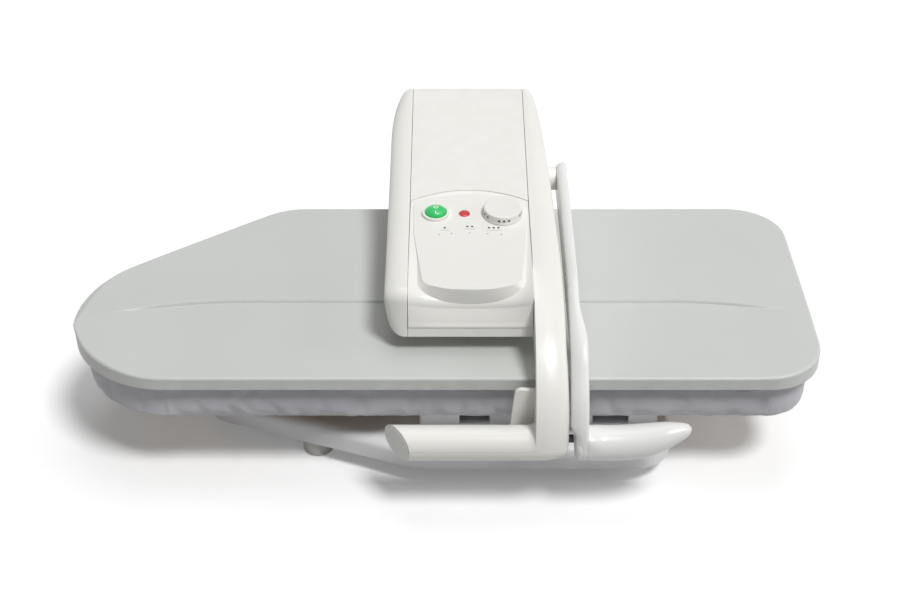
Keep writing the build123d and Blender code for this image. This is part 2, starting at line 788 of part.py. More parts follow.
def make_handle():
    """Right side shell with its arm and grip, and the pieces that close them."""
    whole = housing_profile(True)
    inside = offset(whole, amount=-plastic_wall)
    right_start = panel_right + seam / 2
    grip_length = right_start - grip_left
    shell = across(whole, right_start, housing_right)
    shell = fillet(shell.faces().sort_by(Axis.X)[-1].edges(), arm_edge_radius)
    room = across(inside, right_start, housing_right - plastic_wall)
    room = fillet(room.faces().sort_by(Axis.X)[-1].edges(), arm_edge_radius - plastic_wall)
    arm_zone = block(right_start, right_start + plastic_wall, grip_y - 40, housing_front_top, 0, roof_rear_z)
    room = room - arm_zone - rear_waste(plastic_wall)[1]
    shell = shell - rear_waste(0)[1] - room
    rear_slot = block(
        right_start + plastic_wall, housing_right - plastic_wall,
        arm_rear_y - 2 * plastic_wall, arm_rear_y + 1,
        arm_bottom + arm_slot_rise, housing_bottom - 26,
    )
    shell -= rear_slot

    end_x = grip_left + grip_radius * tan(radians(grip_end_turn))
    end_block = Box(grip_length, grip_length, grip_length, align=(Align.MAX, Align.CENTER, Align.CENTER))
    grip_end = Pos(end_x, grip_y, grip_z) * Rot(0, 0, grip_end_turn) * end_block
    rod = crossbar(grip_left - 20, right_start, grip_y, grip_z, grip_radius) - grip_end
    hollow = crossbar(grip_left - 20, right_start + plastic_wall, grip_y, grip_z, grip_radius - plastic_wall)
    parting_z = grip_z - grip_parting
    low_zone = block(grip_left - 20, right_start, grip_y - 20, grip_y + 20, grip_z - 20, parting_z)
    shell += rod - low_zone
    shell -= hollow
    boss_start = housing_right - pivot_boss_depth
    shell -= crossbar(boss_start, housing_right, pivot_y, pivot_z, pivot_boss_radius)
    shell -= crossbar(housing_right - 2 * plastic_wall, housing_right, bumper_y, bumper_z, bumper_radius)
    screw_z = roof_z(side_screw_y) - side_screw_drop
    shell -= crossbar(panel_right + right_band / 2, housing_right, side_screw_y, screw_z, side_screw_radius)
    keep("housing_right_shell", shell)

    lower = rod - hollow
    lower &= Pos(-clearance, 0, -running_clearance) * low_zone
    keep("grip_lower_shell", lower)
    plug_radius = grip_radius - plastic_wall - running_clearance
    plug = crossbar(grip_left - 20, grip_left + 20, grip_y, grip_z, plug_radius)
    plug -= grip_end
    plug &= Pos(plastic_wall / cos(radians(grip_end_turn)), 0, 0) * grip_end
    keep("grip_end_cap", plug)

    gusset = rounded([
        (gusset_left, grip_z - grip_radius + 6, 3),
        (housing_right - 2, grip_z - grip_radius + 6, 3),
        (housing_right - 2, gusset_top - 3, 3),
        (gusset_left + 3, gusset_top, gusset_corner),
    ])
    plate = extrude(Plane.XZ.offset(-arm_rear_y) * gusset, amount=-gusset_thickness)
    keep("handle_inner_shell", plate)

    boss = crossbar(boss_start, lever_left - clearance, pivot_y, pivot_z, pivot_boss_radius)
    boss -= crossbar(boss_start, lever_left, pivot_y, pivot_z, lever_shaft_radius + running_clearance)
    keep("lever_boss", boss)
    bumper_start = housing_right - 2 * plastic_wall
    bumper = crossbar(bumper_start, lever_left + lever_gap, bumper_y, bumper_z, bumper_radius)
    keep("lever_bumper", bumper)
    screw_start = panel_right + right_band / 2
    screw = crossbar(screw_start, housing_right - side_screw_sink, side_screw_y, screw_z, side_screw_radius)
    keep("side_screw", screw)


def roof_z(y):
    """Height of the roof's outer face."""
    return panel_rear_z + (y - panel_rear_y) * tan(radians(roof_slope))


def make_lever():
    """Pressure lever with its fin grip, shaft and cam."""
    plan = make_face(Polyline(
        (lever_left, pivot_y + 40), (lever_left + lever_thin, pivot_y + 40),
        (lever_left + lever_thin, lever_jog_start_y), (lever_left + lever_thick, lever_jog_end_y),
        (lever_left + lever_thick, grip_y - 40), (lever_left, grip_y - 40), close=True,
    ))
    arm = across(lever_profile(), lever_left, lever_left + lever_thick) & slab(plan, 0, roof_rear_z)
    fin_start = lever_left + lever_thick / 2
    fin_sections = (
        (fin_start, grip_radius, 0.0),
        (fin_start + fin_bend, grip_radius, 0.0),
        (fin_start + (fin_length + fin_bend) / 2 + 4, grip_radius * 0.72, fin_tip_rise * 0.5),
        (fin_start + fin_length, fin_tip_radius, fin_tip_rise),
    )
    faces = []
    for x, radius, rise in fin_sections:
        faces.append(Plane.YZ.offset(x) * Pos(grip_y, grip_z + rise) * Circle(radius))
    lever = arm + loft(faces)

    reach = hypot(bumper_y - pivot_y, bumper_z - pivot_z)
    room = bumper_radius + clearance
    slot_end = lever_left + lever_gap + clearance
    track = crossbar(lever_left, slot_end, pivot_y, pivot_z, reach + room)
    track -= crossbar(lever_left, slot_end, pivot_y, pivot_z, reach - room)
    track &= block(lever_left, slot_end, grip_y - 40, grip_y + 60, 0, bumper_z)
    lever -= track
    lever -= crossbar(lever_left, slot_end, bumper_y, bumper_z, room)
    shaft_end = lever_left + lever_thin - 1
    lever -= crossbar(lever_left, shaft_end, pivot_y, pivot_z, lever_shaft_radius)
    keep("pressure_lever", lever)

    shaft_start = frame_right - frame_steel - 8
    keep("lever_shaft", crossbar(shaft_start, shaft_end, pivot_y, pivot_z, lever_shaft_radius))
    cam_start = frame_right + 1
    cam = crossbar(cam_start, cam_start + cam_width, pivot_y, pivot_z - cam_offset, cam_radius)
    cam -= crossbar(cam_start, cam_start + cam_width, pivot_y, pivot_z, lever_shaft_radius)
    keep("pressure_cam", cam)


def make_controls():
    """Rocker switch, pilot lamp, temperature knob and thermostat, square to the panel."""
    up = (Align.CENTER, Align.CENTER, Align.MIN)
    down = (Align.CENTER, Align.CENTER, Align.MAX)
    bore = rocker_radius + rocker_bore_clearance
    place = on_panel(rocker_x, controls_y)
    body = Cylinder(bore + 1 - running_clearance, switch_depth, align=down)
    body += Cylinder(bezel_radius, bezel_height, align=up)
    body -= Pos(0, 0, -switch_depth / 2) * Cylinder(bore, 2 * switch_depth, align=up)
    keep("switch_body", place * body)
    pivot = Pos(0, 0, rocker_pivot_height)
    barrel = Rot(0, 90, 0) * Cylinder(rocker_radius, 4 * rocker_radius)
    rocker = Cylinder(rocker_radius, 4 * rocker_radius) & barrel
    face_tilt = rocker_tilt + 2
    for side in (-1, 1):
        half = Pos(0, 0, rocker_rise) * Rot(side * face_tilt, 0, 0) * Box(
            60, 60, 60, align=(Align.CENTER, Align.CENTER, Align.MIN))
        rocker -= half & block(-30, 30, min(0, side * 30), max(0, side * 30), -30, 60)
    rocker -= block(-30, 30, -30, 30, -60, -rocker_rise)
    keep("power_rocker", place * pivot * Rot(-rocker_tilt, 0, 0) * rocker)
    place = on_panel(pilot_x, controls_y)
    lens = Cylinder(pilot_radius, plastic_wall, align=down)
    dome_radius = (pilot_radius ** 2 + pilot_dome ** 2) / (2 * pilot_dome)
    dome = Pos(0, 0, pilot_dome - dome_radius) * Sphere(dome_radius)
    lens += dome & Cylinder(pilot_radius, pilot_radius, align=up)
    keep("pilot_lens", place * lens)
    holder = Pos(0, 0, -plastic_wall) * Cylinder(pilot_holder_radius, pilot_holder_depth, align=down)
    lamp_room = Cylinder(pilot_holder_radius - 2, pilot_holder_depth - 2, align=down)
    holder -= Pos(0, 0, -plastic_wall) * lamp_room
    keep("pilot_holder", place * holder)
    lamp = Cylinder(pilot_lamp_radius, pilot_holder_depth - 5, align=up)
    keep("pilot_lamp", place * Pos(0, 0, -plastic_wall - pilot_holder_depth + 2) * lamp)

    place = on_panel(knob_x, controls_y)
    knob = Pos(0, 0, knob_gap) * Cylinder(knob_radius, knob_height, align=up)
    knob = fillet(knob.edges().group_by(Axis.Z)[-1], knob_round)
    knob += Pos(0, 0, knob_gap) * Cylinder(knob_radius + knob_skirt_lip, knob_skirt, align=up)
    shaft_top = knob_gap + knob_height - plastic_wall
    knob -= Cylinder(knob_shaft_radius, shaft_top, align=up)
    keep("temperature_knob", place * knob)
    sink = thermostat_depth / 2
    shaft = Pos(0, 0, shaft_top) * Cylinder(knob_shaft_radius, shaft_top + plastic_wall + sink, align=down)
    keep("knob_shaft", place * shaft)
    body = Box(thermostat_side, thermostat_side, thermostat_depth, align=down)
    body -= Cylinder(knob_shaft_radius + running_clearance, sink + 1, align=down)
    keep("thermostat", place * Pos(0, 0, -plastic_wall) * body)


make_base()
make_table()
make_shoe()
make_hinge()
make_frame()
make_housing()
make_handle()
make_lever()
make_controls()
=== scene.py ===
import json
from math import atan2, ceil, cos, exp, hypot, pi, radians, sin, sqrt, tan

import bmesh
import bpy
from mathutils import Matrix, Vector


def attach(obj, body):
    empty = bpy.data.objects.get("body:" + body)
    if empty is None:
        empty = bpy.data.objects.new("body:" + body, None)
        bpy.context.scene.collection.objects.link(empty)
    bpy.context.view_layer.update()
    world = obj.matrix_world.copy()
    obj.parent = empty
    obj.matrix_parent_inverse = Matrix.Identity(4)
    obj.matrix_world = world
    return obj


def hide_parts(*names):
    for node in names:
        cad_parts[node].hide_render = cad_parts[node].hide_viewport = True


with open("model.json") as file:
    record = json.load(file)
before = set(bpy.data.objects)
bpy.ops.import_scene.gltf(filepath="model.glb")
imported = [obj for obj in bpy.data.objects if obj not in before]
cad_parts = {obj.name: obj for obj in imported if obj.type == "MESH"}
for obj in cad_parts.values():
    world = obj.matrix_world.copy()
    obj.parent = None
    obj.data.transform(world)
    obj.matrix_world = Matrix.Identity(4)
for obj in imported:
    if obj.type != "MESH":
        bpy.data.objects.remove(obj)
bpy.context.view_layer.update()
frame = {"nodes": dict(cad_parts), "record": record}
scene = bpy.context.scene

MM = 0.001

# Sizes repeated from the part's source, in metres
COVER_LENGTH, COVER_DEPTH, COVER_FRONT = 0.6525, 0.268, -0.153
COVER_REAR = COVER_FRONT + COVER_DEPTH
NOSE_RADIUS, NOSE_SLANT = 0.090, radians(38.2)
REAR_RIGHT_RADIUS, FRONT_RIGHT_RADIUS, REAR_LEFT_RADIUS = 0.050, 0.048, 0.060
COVER_BOTTOM, COVER_TOP = 0.1079, 0.1249
TABLE_BOTTOM, TABLE_TOP = 0.068, 0.107
HOUSING_LEFT, PANEL_LEFT, PANEL_RIGHT, HOUSING_RIGHT = -0.05025, -0.03025, 0.07675, 0.10325
HOUSING_BOTTOM, HOUSING_FRONT, HOUSING_FRONT_TOP = 0.1374, -0.117, -0.1125
PANEL_FRONT_Z, PANEL_REAR_Y, PANEL_REAR_Z = 0.180, 0.019, 0.190
ROOF_SLOPE, ROOF_REAR_RADIUS = radians(8.4), 0.0145
HINGE_Y, HINGE_Z, HINGE_COVER_RADIUS = 0.158, 0.088, 0.034
HOUSING_REAR = HINGE_Y + HINGE_COVER_RADIUS + 0.008
LEFT_TAPER, LEFT_RUN, RIGHT_TAPER, RIGHT_RUN = 0.020, 0.080, 0.022, 0.380
ROOF_REAR_Z = PANEL_REAR_Z + (HOUSING_REAR - PANEL_REAR_Y) * tan(ROOF_SLOPE)
PANEL_SLOPE = atan2(PANEL_REAR_Z - PANEL_FRONT_Z, PANEL_REAR_Y - HOUSING_FRONT_TOP)
GRIP_Y, GRIP_Z, GRIP_RADIUS, GRIP_LEFT = -0.185, 0.077, 0.015, -0.04975
ARM_BOTTOM, ARM_REAR_Y = 0.062, -0.166
LEVER_LEFT, PIVOT_Y, PIVOT_Z = 0.10625, 0.088, 0.172
ROCKER_X, PILOT_X, KNOB_X, CONTROLS_Y = -0.007, 0.0187, 0.0528, -0.0015
STRIP_TOP = 0.1459
SCREW_Y = 0.112
SCREW_Z = PANEL_REAR_Z + (SCREW_Y - PANEL_REAR_Y) * tan(ROOF_SLOPE) - 0.009
SEAM = 0.0004

# Local axes for a side profile: its u runs along Y, its v along Z and its height along X
SIDEWAYS = Matrix(((0, 0, 1, 0), (1, 0, 0, 0), (0, 1, 0, 0), (0, 0, 0, 1)))


def srgb(red, green, blue):
    """Colour given as 0 to 255 screen values, as the shader wants it."""
    shown = [value / 255 for value in (red, green, blue)]
    return tuple(s / 12.92 if s <= 0.04045 else ((s + 0.055) / 1.055) ** 2.4 for s in shown) + (1.0,)


def clamp(value):
    return min(max(value, 0.0), 1.0)


def smooth(value):
    """Eases from 0 to 1, and stays there."""
    t = clamp(value)
    return t * t * (3 - 2 * t)


def spread(low, high, count):
    """Evenly spaced places, both ends among them."""
    return [low + (high - low) * k / count for k in range(count + 1)]


def set_all(thing, **settings):
    for key, value in settings.items():
        setattr(thing, key, value)


# Shader node groups


class Shader:
    """Adds and joins nodes in one material or group."""

    def __init__(self, tree):
        self.tree = tree

    def give(self, socket, value):
        """Joins another node's socket to this one, or sets it to a plain value."""
        if isinstance(value, bpy.types.NodeSocket):
            self.tree.links.new(value, socket)
        else:
            socket.default_value = value

    def fill(self, node, **values):
        """Gives a node its inputs, by name with _ for a space, or as i0, i1 and so on by their place."""
        for key, value in values.items():
            by_place = key[0] == "i" and key[1:].isdigit()
            self.give(node.inputs[int(key[1:]) if by_place else key.replace("_", " ")], value)
        return node

    def add(self, kind, settings=None, **inputs):
        node = self.tree.nodes.new("ShaderNode" + kind)
        set_all(node, **(settings or {}))
        return self.fill(node, **inputs)

    def group(self, tree, **inputs):
        return self.add("Group", {"node_tree": tree}, **inputs)

    def maths(self, operation, first, second=0.0):
        return self.add("Math", {"operation": operation}, i0=first, i1=second).outputs[0]

    def remap(self, value, low, high, to_low=0.0, to_high=1.0):
        node = self.add("MapRange", {"clamp": True}, i0=value, i1=low, i2=high, i3=to_low, i4=to_high)
        return node.outputs[0]

    def blend(self, share, first, second):
        return self.add("Mix", {"data_type": "RGBA"}, i0=share, i6=first, i7=second).outputs[2]

    def swing(self, pattern, reach):
        """Pattern from 0 to 1, turned into a swing about 0."""
        return self.maths("MULTIPLY", self.maths("SUBTRACT", pattern, 0.5), reach)

    def object_place(self):
        return self.add("TexCoord").outputs["Object"]

    def noise(self, scale, place=None, **inputs):
        """Noise over the piece, in Object coordinates or at a place made from them."""
        place = self.object_place() if place is None else place
        return self.add("TexNoise", Vector=place, Scale=scale, **inputs).outputs[0]

    def bump(self, height, strength, distance):
        return self.add("Bump", Strength=strength, Distance=distance, Height=height).outputs[0]

    def seen_ray(self):
        """1 on rays that reach the picture straight, from gloss or through glass."""
        rays = self.add("LightPath").outputs
        mirrored = self.maths("MAXIMUM", rays["Is Glossy Ray"], rays["Is Transmission Ray"])
        return self.maths("MAXIMUM", rays["Is Camera Ray"], mirrored)


def make_group(name, inputs, outputs):
    """Empty node group; an input is a number with its usual value, or a colour where that is None."""
    kinds = {"Color": "Color", "Normal": "Vector"}
    tree = bpy.data.node_groups.new(name, "ShaderNodeTree")
    for label, value in inputs.items():
        kind = "NodeSocketColor" if value is None else "NodeSocketFloat"
        socket = tree.interface.new_socket(name=label, in_out="INPUT", socket_type=kind)
        if value is not None:
            socket.default_value = value
    for label in outputs:
        kind = "NodeSocket" + kinds.get(label, "Float")
        tree.interface.new_socket(name=label, in_out="OUTPUT", socket_type=kind)
    return tree, Shader(tree), tree.nodes.new("NodeGroupInput").outputs, tree.nodes.new("NodeGroupOutput")


def make_tone_drift():
    """Slow change of colour over a surface, with soft cloudy patches."""
    tree, s, given, result = make_group(
        "tone drift", {"Color": None, "Drift Color": None, "Scale": 8.0, "Amount": 0.5}, ["Color"])
    clouds = s.noise(given["Scale"], Detail=3.0, Roughness=0.55)
    share = s.maths("MULTIPLY", s.remap(clouds, 0.35, 0.7), given["Amount"])
    s.fill(result, Color=s.blend(share, given["Color"], given["Drift Color"]))
    return tree


def make_edge_wear():
    """Colour that turns to the worn one along convex edges, broken up by a fine noise."""
    tree, s, given, result = make_group(
        "edge wear", {"Color": None, "Worn Color": None, "Amount": 0.5, "Scale": 60.0},
        ["Color", "Mask"])
    edge = s.remap(s.add("NewGeometry").outputs["Pointiness"], 0.505, 0.56)
    patches = s.remap(s.noise(given["Scale"], Detail=4.0), 0.4, 0.62)
    mask = s.maths("MULTIPLY", s.maths("MULTIPLY", edge, patches), given["Amount"])
    s.fill(result, Color=s.blend(mask, given["Color"], given["Worn Color"]), Mask=mask)
    return tree


def make_skin_grain():
    """Fine grain of a moulded or painted skin: a bump and a roughness that varies with it."""
    tree, s, given, result = make_group(
        "skin grain", {"Scale": 900.0, "Depth": 0.1, "Roughness": 0.4, "Spread": 0.06},
        ["Roughness", "Normal"])
    place = s.object_place()
    fine = s.noise(given["Scale"], place, Detail=2.0)
    broad = s.noise(14.0, place, Detail=4.0)
    swing = s.maths("MULTIPLY", s.swing(broad, given["Spread"]), 2.0)
    s.fill(result, Roughness=s.maths("ADD", given["Roughness"], swing),
           Normal=s.bump(fine, given["Depth"], 0.0002))
    return tree


def make_brush_lines():
    """Long fine lines of a ground, drawn or rolled metal, along X."""
    tree, s, given, result = make_group(
        "brush lines", {"Color": None, "Line Color": None, "Scale": 400.0, "Roughness": 0.35},
        ["Color", "Roughness", "Normal"])
    drawn_out = s.add("Mapping", Vector=s.object_place(), Scale=(0.02, 1.0, 1.0)).outputs[0]
    lines = s.noise(given["Scale"], drawn_out, Detail=3.0)
    rough = s.maths("ADD", given["Roughness"], s.swing(lines, 0.3))
    s.fill(result, Color=s.blend(lines, given["Color"], given["Line Color"]), Roughness=rough,
           Normal=s.bump(lines, 0.15, 0.0001))
    return tree


TONE_DRIFT = make_tone_drift()
EDGE_WEAR = make_edge_wear()
SKIN_GRAIN = make_skin_grain()
BRUSH_LINES = make_brush_lines()


# Finishes


def new_material(name, **settings):
    """Material with its Principled shader's plain numbers set."""
    material = bpy.data.materials.new(name)
    material.use_nodes = True
    s = Shader(material.node_tree)
    shader = next(node for node in material.node_tree.nodes if node.type == "BSDF_PRINCIPLED")
    return material, s, s.fill(shader, **settings)


def moulded(name, colour, drift, worn, rough, vary=0.05, grain=900.0, depth=0.08, wear=0.4, drifting=0.5):
    """Moulded plastic, rubber or paint: tone drift, then edge wear, with a fine skin grain."""
    material, s, shader = new_material(name)
    tone = s.group(TONE_DRIFT, Color=srgb(*colour), Drift_Color=srgb(*drift), Amount=drifting)
    edges = s.group(EDGE_WEAR, Color=tone.outputs[0], Worn_Color=srgb(*worn), Amount=wear)
    skin = s.group(SKIN_GRAIN, Scale=grain, Depth=depth, Roughness=rough, Spread=vary)
    s.fill(shader, Base_Color=edges.outputs[0], Roughness=skin.outputs[0], Normal=skin.outputs[1])
    return material


def metal(name, colour, line, worn, rough):
    """Bare or plated metal with fine lines and brighter edges."""
    material, s, shader = new_material(name, Metallic=1.0)
    lines = s.group(BRUSH_LINES, Color=srgb(*colour), Line_Color=srgb(*line), Roughness=rough)
    edges = s.group(EDGE_WEAR, Color=lines.outputs[0], Worn_Color=srgb(*worn), Amount=0.4)
    s.fill(shader, Base_Color=edges.outputs[0], Roughness=lines.outputs[1], Normal=lines.outputs[2])
    return material


def woven_cloth():
    """Silver-grey cloth of the board: a fine plain weave, cloudy tone and soft sheen."""
    material, s, shader = new_material("silver board cloth", Sheen_Weight=0.35, Sheen_Roughness=0.45)
    place = s.object_place()
    threads = []
    for turn in (radians(45), radians(-45)):
        along = s.add("Mapping", Vector=place, Rotation=(0.0, 0.0, turn)).outputs[0]
        thread = s.add("TexWave", {"bands_direction": "DIAGONAL"}, Vector=along, Scale=330.0,
                       Distortion=0.6, Detail=1.0)
        threads.append(thread.outputs[1])
    weave = s.maths("MULTIPLY", *threads)
    silver, shade, gap = srgb(214, 214, 219), srgb(196, 196, 202), srgb(158, 158, 164)
    tone = s.group(TONE_DRIFT, Color=silver, Drift_Color=shade, Scale=11.0, Amount=0.7)
    between = s.blend(0.35, tone.outputs[0], gap)
    s.fill(shader, Base_Color=s.blend(weave, between, tone.outputs[0]),
           Roughness=s.remap(weave, 0.0, 1.0, 0.72, 0.55), Normal=s.bump(weave, 0.25, 0.0003))
    return material


def pressed_board():
    """Pressed fibre board with chips of several browns."""
    material, s, shader = new_material("pressed fibre board")
    chips = s.add("TexVoronoi", Vector=s.object_place(), Scale=260.0).outputs["Color"]
    grey = s.add("SeparateColor", Color=chips).outputs[0]
    s.fill(shader, Base_Color=s.blend(grey, srgb(150, 118, 84), srgb(196, 168, 128)),
           Roughness=s.remap(grey, 0.0, 1.0, 0.7, 0.9), Normal=s.bump(grey, 0.3, 0.0003))
    return material


def needled_fibre():
    """White ceramic fibre mat with loose hairs."""
    material, s, shader = new_material("needled fibre mat", Sheen_Weight=0.2)
    hairs = s.noise(500.0, Detail=6.0, Distortion=2.0)
    s.fill(shader, Base_Color=s.blend(hairs, srgb(206, 202, 192), srgb(240, 238, 232)),
           Roughness=s.remap(hairs, 0.0, 1.0, 0.85, 1.0), Normal=s.bump(hairs, 0.5, 0.0005))
    return material


def clear_glass():
    """Clear glass of the little lamp."""
    material, s, shader = new_material("lamp glass", Transmission_Weight=0.9, Roughness=0.08, IOR=1.5)
    s.fill(shader, Base_Color=s.blend(s.noise(200.0), srgb(255, 214, 170), srgb(255, 232, 205)))
    return material


def lit_plastic(name, colour, deep, glow, strength, rough=0.2):
    """Clear coloured plastic, a little brighter where the lamp behind it shows through."""
    material, s, shader = new_material(
        name, Coat_Weight=0.25, Coat_Roughness=0.06, Emission_Strength=strength)
    clouds = s.noise(120.0, Detail=3.0)
    s.fill(shader, Base_Color=s.blend(s.remap(clouds, 0.3, 0.7), srgb(*colour), srgb(*deep)),
           Emission_Color=s.blend(clouds, srgb(*deep), srgb(*glow)),
           Roughness=s.remap(clouds, 0.0, 1.0, rough, rough + 0.1))
    return material


FINISHES = {
    "housing_plastic": moulded("ivory housing plastic", (240, 239, 234), (231, 229, 223), (246, 245, 241),
        rough=0.30, drifting=0.45, wear=0.35, depth=0.05),
    "lever_plastic": moulded("white lever plastic", (239, 239, 237), (230, 230, 228), (244, 244, 243),
        rough=0.28, wear=0.35, depth=0.05),
    "base_plastic": moulded("cool white base plastic", (240, 240, 241), (230, 230, 232), (242, 242, 242),
        rough=0.34),
    "cover_paint": moulded("light grey cover paint", (206, 208, 205), (199, 202, 198), (216, 218, 215),
                           rough=0.42, vary=0.04, grain=1400.0, depth=0.06, wear=0.5),
    "pad_cloth": woven_cloth(),
    "board_wood": pressed_board(),
    "sole_aluminium": metal("ground aluminium", (208, 209, 211), (182, 184, 187), (235, 236, 238), 0.28),
    "element_steel": metal("heat tinted steel", (128, 120, 112), (96, 88, 84), (170, 160, 150), 0.45),
    "mat_fibre": needled_fibre(),
    "zinc_steel": metal("zinc plated steel", (190, 191, 193), (160, 162, 166), (222, 223, 225), 0.38),
    "axle_steel": metal("ground steel bar", (176, 177, 180), (140, 142, 146), (215, 216, 218), 0.26),
    "spring_steel": metal("oiled spring steel", (104, 104, 110), (70, 70, 76), (150, 150, 156), 0.34),
    "bush_brass": metal("turned brass", (205, 172, 104), (168, 134, 70), (232, 204, 144), 0.3),
    "foot_rubber": moulded("grey foot rubber", (218, 217, 212), (204, 203, 198), (188, 187, 184),
                           rough=0.68, grain=700.0, depth=0.3, wear=0.5),
    "black_rubber": moulded("black rubber", (34, 34, 34), (22, 22, 22), (62, 62, 62), 0.6, depth=0.3),
    "black_plastic": moulded("black phenolic", (42, 42, 43), (30, 30, 31), (78, 78, 78), 0.4, depth=0.15),
    "green_plastic": lit_plastic(
        "green rocker plastic", (26, 186, 92), (10, 140, 66), (60, 225, 128), 0.3, 0.32),
    "red_lens": lit_plastic("red lens", (206, 30, 40), (166, 10, 24), (236, 60, 66), 0.18),
    "lamp_glass": clear_glass(),
}
PRINTS = {
    "black": moulded("black print", (40, 40, 42), (28, 28, 30), (60, 60, 62), rough=0.5),
    "white": moulded("white print", (238, 240, 238), (226, 230, 226), (246, 246, 246), rough=0.5),
    "grey": moulded("grey print", (176, 176, 174), (160, 160, 158), (190, 190, 188), rough=0.5),
}

for row in frame["record"]["subparts"]:
    mesh = frame["nodes"][row["node"]].data
    mesh.materials.clear()
    mesh.materials.append(FINISHES[row["material_slot"]])


# Mesh helpers


def outward(bm):
    """Turns the faces of closed shapes outwards."""
    bmesh.ops.recalc_face_normals(bm, faces=bm.faces[:])
    return bm


def moved(bm, matrix):
    bmesh.ops.transform(bm, matrix=matrix, verts=bm.verts[:])
    return bm


def rounded_outline(corners, step=radians(6)):
    """Flat face through corners given as (u, v, radius), each rounded by spinning a point."""
    bm = bmesh.new()
    ends = []
    for index, (u, v, radius) in enumerate(corners):
        corner = Vector((u, v, 0))
        last_u, last_v, _ = corners[index - 1]
        next_u, next_v, _ = corners[(index + 1) % len(corners)]
        to_last = (Vector((last_u, last_v, 0)) - corner).normalized()
        to_next = (Vector((next_u, next_v, 0)) - corner).normalized()
        if not radius:
            vert = bm.verts.new(corner)
            ends.append((vert, vert))
            continue
        half = to_last.angle(to_next) / 2
        start = bm.verts.new(corner + to_last * (radius / tan(half)))
        centre = corner + (to_last + to_next).normalized() * (radius / sin(half))
        turn = pi - 2 * half
        way = -1 if to_last.cross(to_next).z > 0 else 1
        spun = bmesh.ops.spin(bm, geom=[start], cent=centre, axis=(0, 0, 1), angle=way * turn,
                              steps=max(2, ceil(turn / step)))
        ends.append((start, spun["geom_last"][0]))
    for index, (start, _) in enumerate(ends):
        bm.edges.new((ends[index - 1][1], start))
    bmesh.ops.edgeloop_fill(bm, edges=bm.edges[:])
    return bm


def raised(bm, low, high):
    """Raises a flat face from low to high."""
    bmesh.ops.translate(bm, verts=bm.verts[:], vec=(0, 0, low))
    grown = bmesh.ops.extrude_face_region(bm, geom=bm.faces[:])["geom"]
    lifted = [v for v in grown if isinstance(v, bmesh.types.BMVert)]
    bmesh.ops.translate(bm, verts=lifted, vec=(0, 0, high - low))
    return outward(bm)


def rounded_block(half_u, half_v, radius, low, high, step):
    """Block with its four upright edges rounded."""
    corners = [(half_u * a, half_v * b, radius) for a, b in ((1, 1), (-1, 1), (-1, -1), (1, -1))]
    return raised(rounded_outline(corners, step), low, high)


def edges_where(bm, wanted):
    """Sharp edges that answer to a test of their middle point."""
    sharp = [edge for edge in bm.edges if len(edge.link_faces) == 2 and edge.calc_face_angle(0) > radians(40)]
    return [edge for edge in sharp if wanted((edge.verts[0].co + edge.verts[1].co) / 2)]


def round_edges(bm, edges, radius, segments=4):
    bmesh.ops.bevel(bm, geom=edges, offset=radius, offset_type="OFFSET", segments=segments, profile=0.5,
                    affect="EDGES", clamp_overlap=True, material=-1)


def cut(bm, axis, places):
    """Cuts the mesh at each place along an axis, to give it points that can be moved."""
    normal = Vector([float(axis == k) for k in range(3)])
    for place in places:
        bmesh.ops.bisect_plane(bm, geom=bm.verts[:] + bm.edges[:] + bm.faces[:], dist=1e-6,
                               plane_co=normal * place, plane_no=normal)


def trim(bm, place, normal):
    """Cuts away what lies beyond a plane and closes the opening."""
    made = bmesh.ops.bisect_plane(bm, geom=bm.verts[:] + bm.edges[:] + bm.faces[:], dist=1e-6, plane_co=place,
                                  plane_no=normal, clear_outer=True)
    rim = [edge for edge in made["geom_cut"] if isinstance(edge, bmesh.types.BMEdge)]
    bmesh.ops.edgeloop_fill(bm, edges=rim)
    outward(bm)


def inset(bm, faces, inwards, depth=0.0):
    bmesh.ops.inset_region(bm, faces=faces, thickness=inwards, depth=depth, use_even_offset=True)


def in_mm(rows):
    """Rows of millimetres, as metres."""
    return [tuple(value * MM for value in row) for row in rows]


def lathe(section, steps=48, closed=False):
    """Turned piece about Z, from (radius, height) points: from axis to axis, or closed round a ring."""
    bm = bmesh.new()
    chain = [bm.verts.new((radius, 0, height)) for radius, height in section]
    pairs = zip(chain[-1:] + chain, chain) if closed else zip(chain, chain[1:])
    edges = [bm.edges.new(pair) for pair in pairs]
    bmesh.ops.spin(bm, geom=chain + edges, cent=(0, 0, 0), axis=(0, 0, 1), angle=2 * pi, steps=steps,
                   use_merge=True)
    bmesh.ops.remove_doubles(bm, verts=bm.verts[:], dist=1e-6)
    return outward(bm)


def to_mesh(name, bm):
    mesh = bpy.data.meshes.new(name)
    bm.to_mesh(mesh)
    bm.free()
    return mesh


def in_scene(name, data):
    """New object of the scene, at the origin."""
    thing = bpy.data.objects.new(name, data)
    scene.collection.objects.link(thing)
    return thing


def joined(*parts):
    """One bmesh from several."""
    whole = bmesh.new()
    for bm in parts:
        loose = to_mesh("part", bm)
        whole.from_mesh(loose)
        bpy.data.meshes.remove(loose)
    return whole


def bored(bm, cutter):
    """Takes a cutter's shape out of a closed shape."""
    blank, drill = [in_scene("blank", to_mesh("blank", shape)) for shape in (bm, cutter)]
    hole = blank.modifiers.new("bore", "BOOLEAN")
    hole.object, hole.solver = drill, "EXACT"
    done = bmesh.new()
    done.from_object(blank, bpy.context.evaluated_depsgraph_get())
    for mesh in (blank.data, drill.data):
        bpy.data.meshes.remove(mesh)
    return done


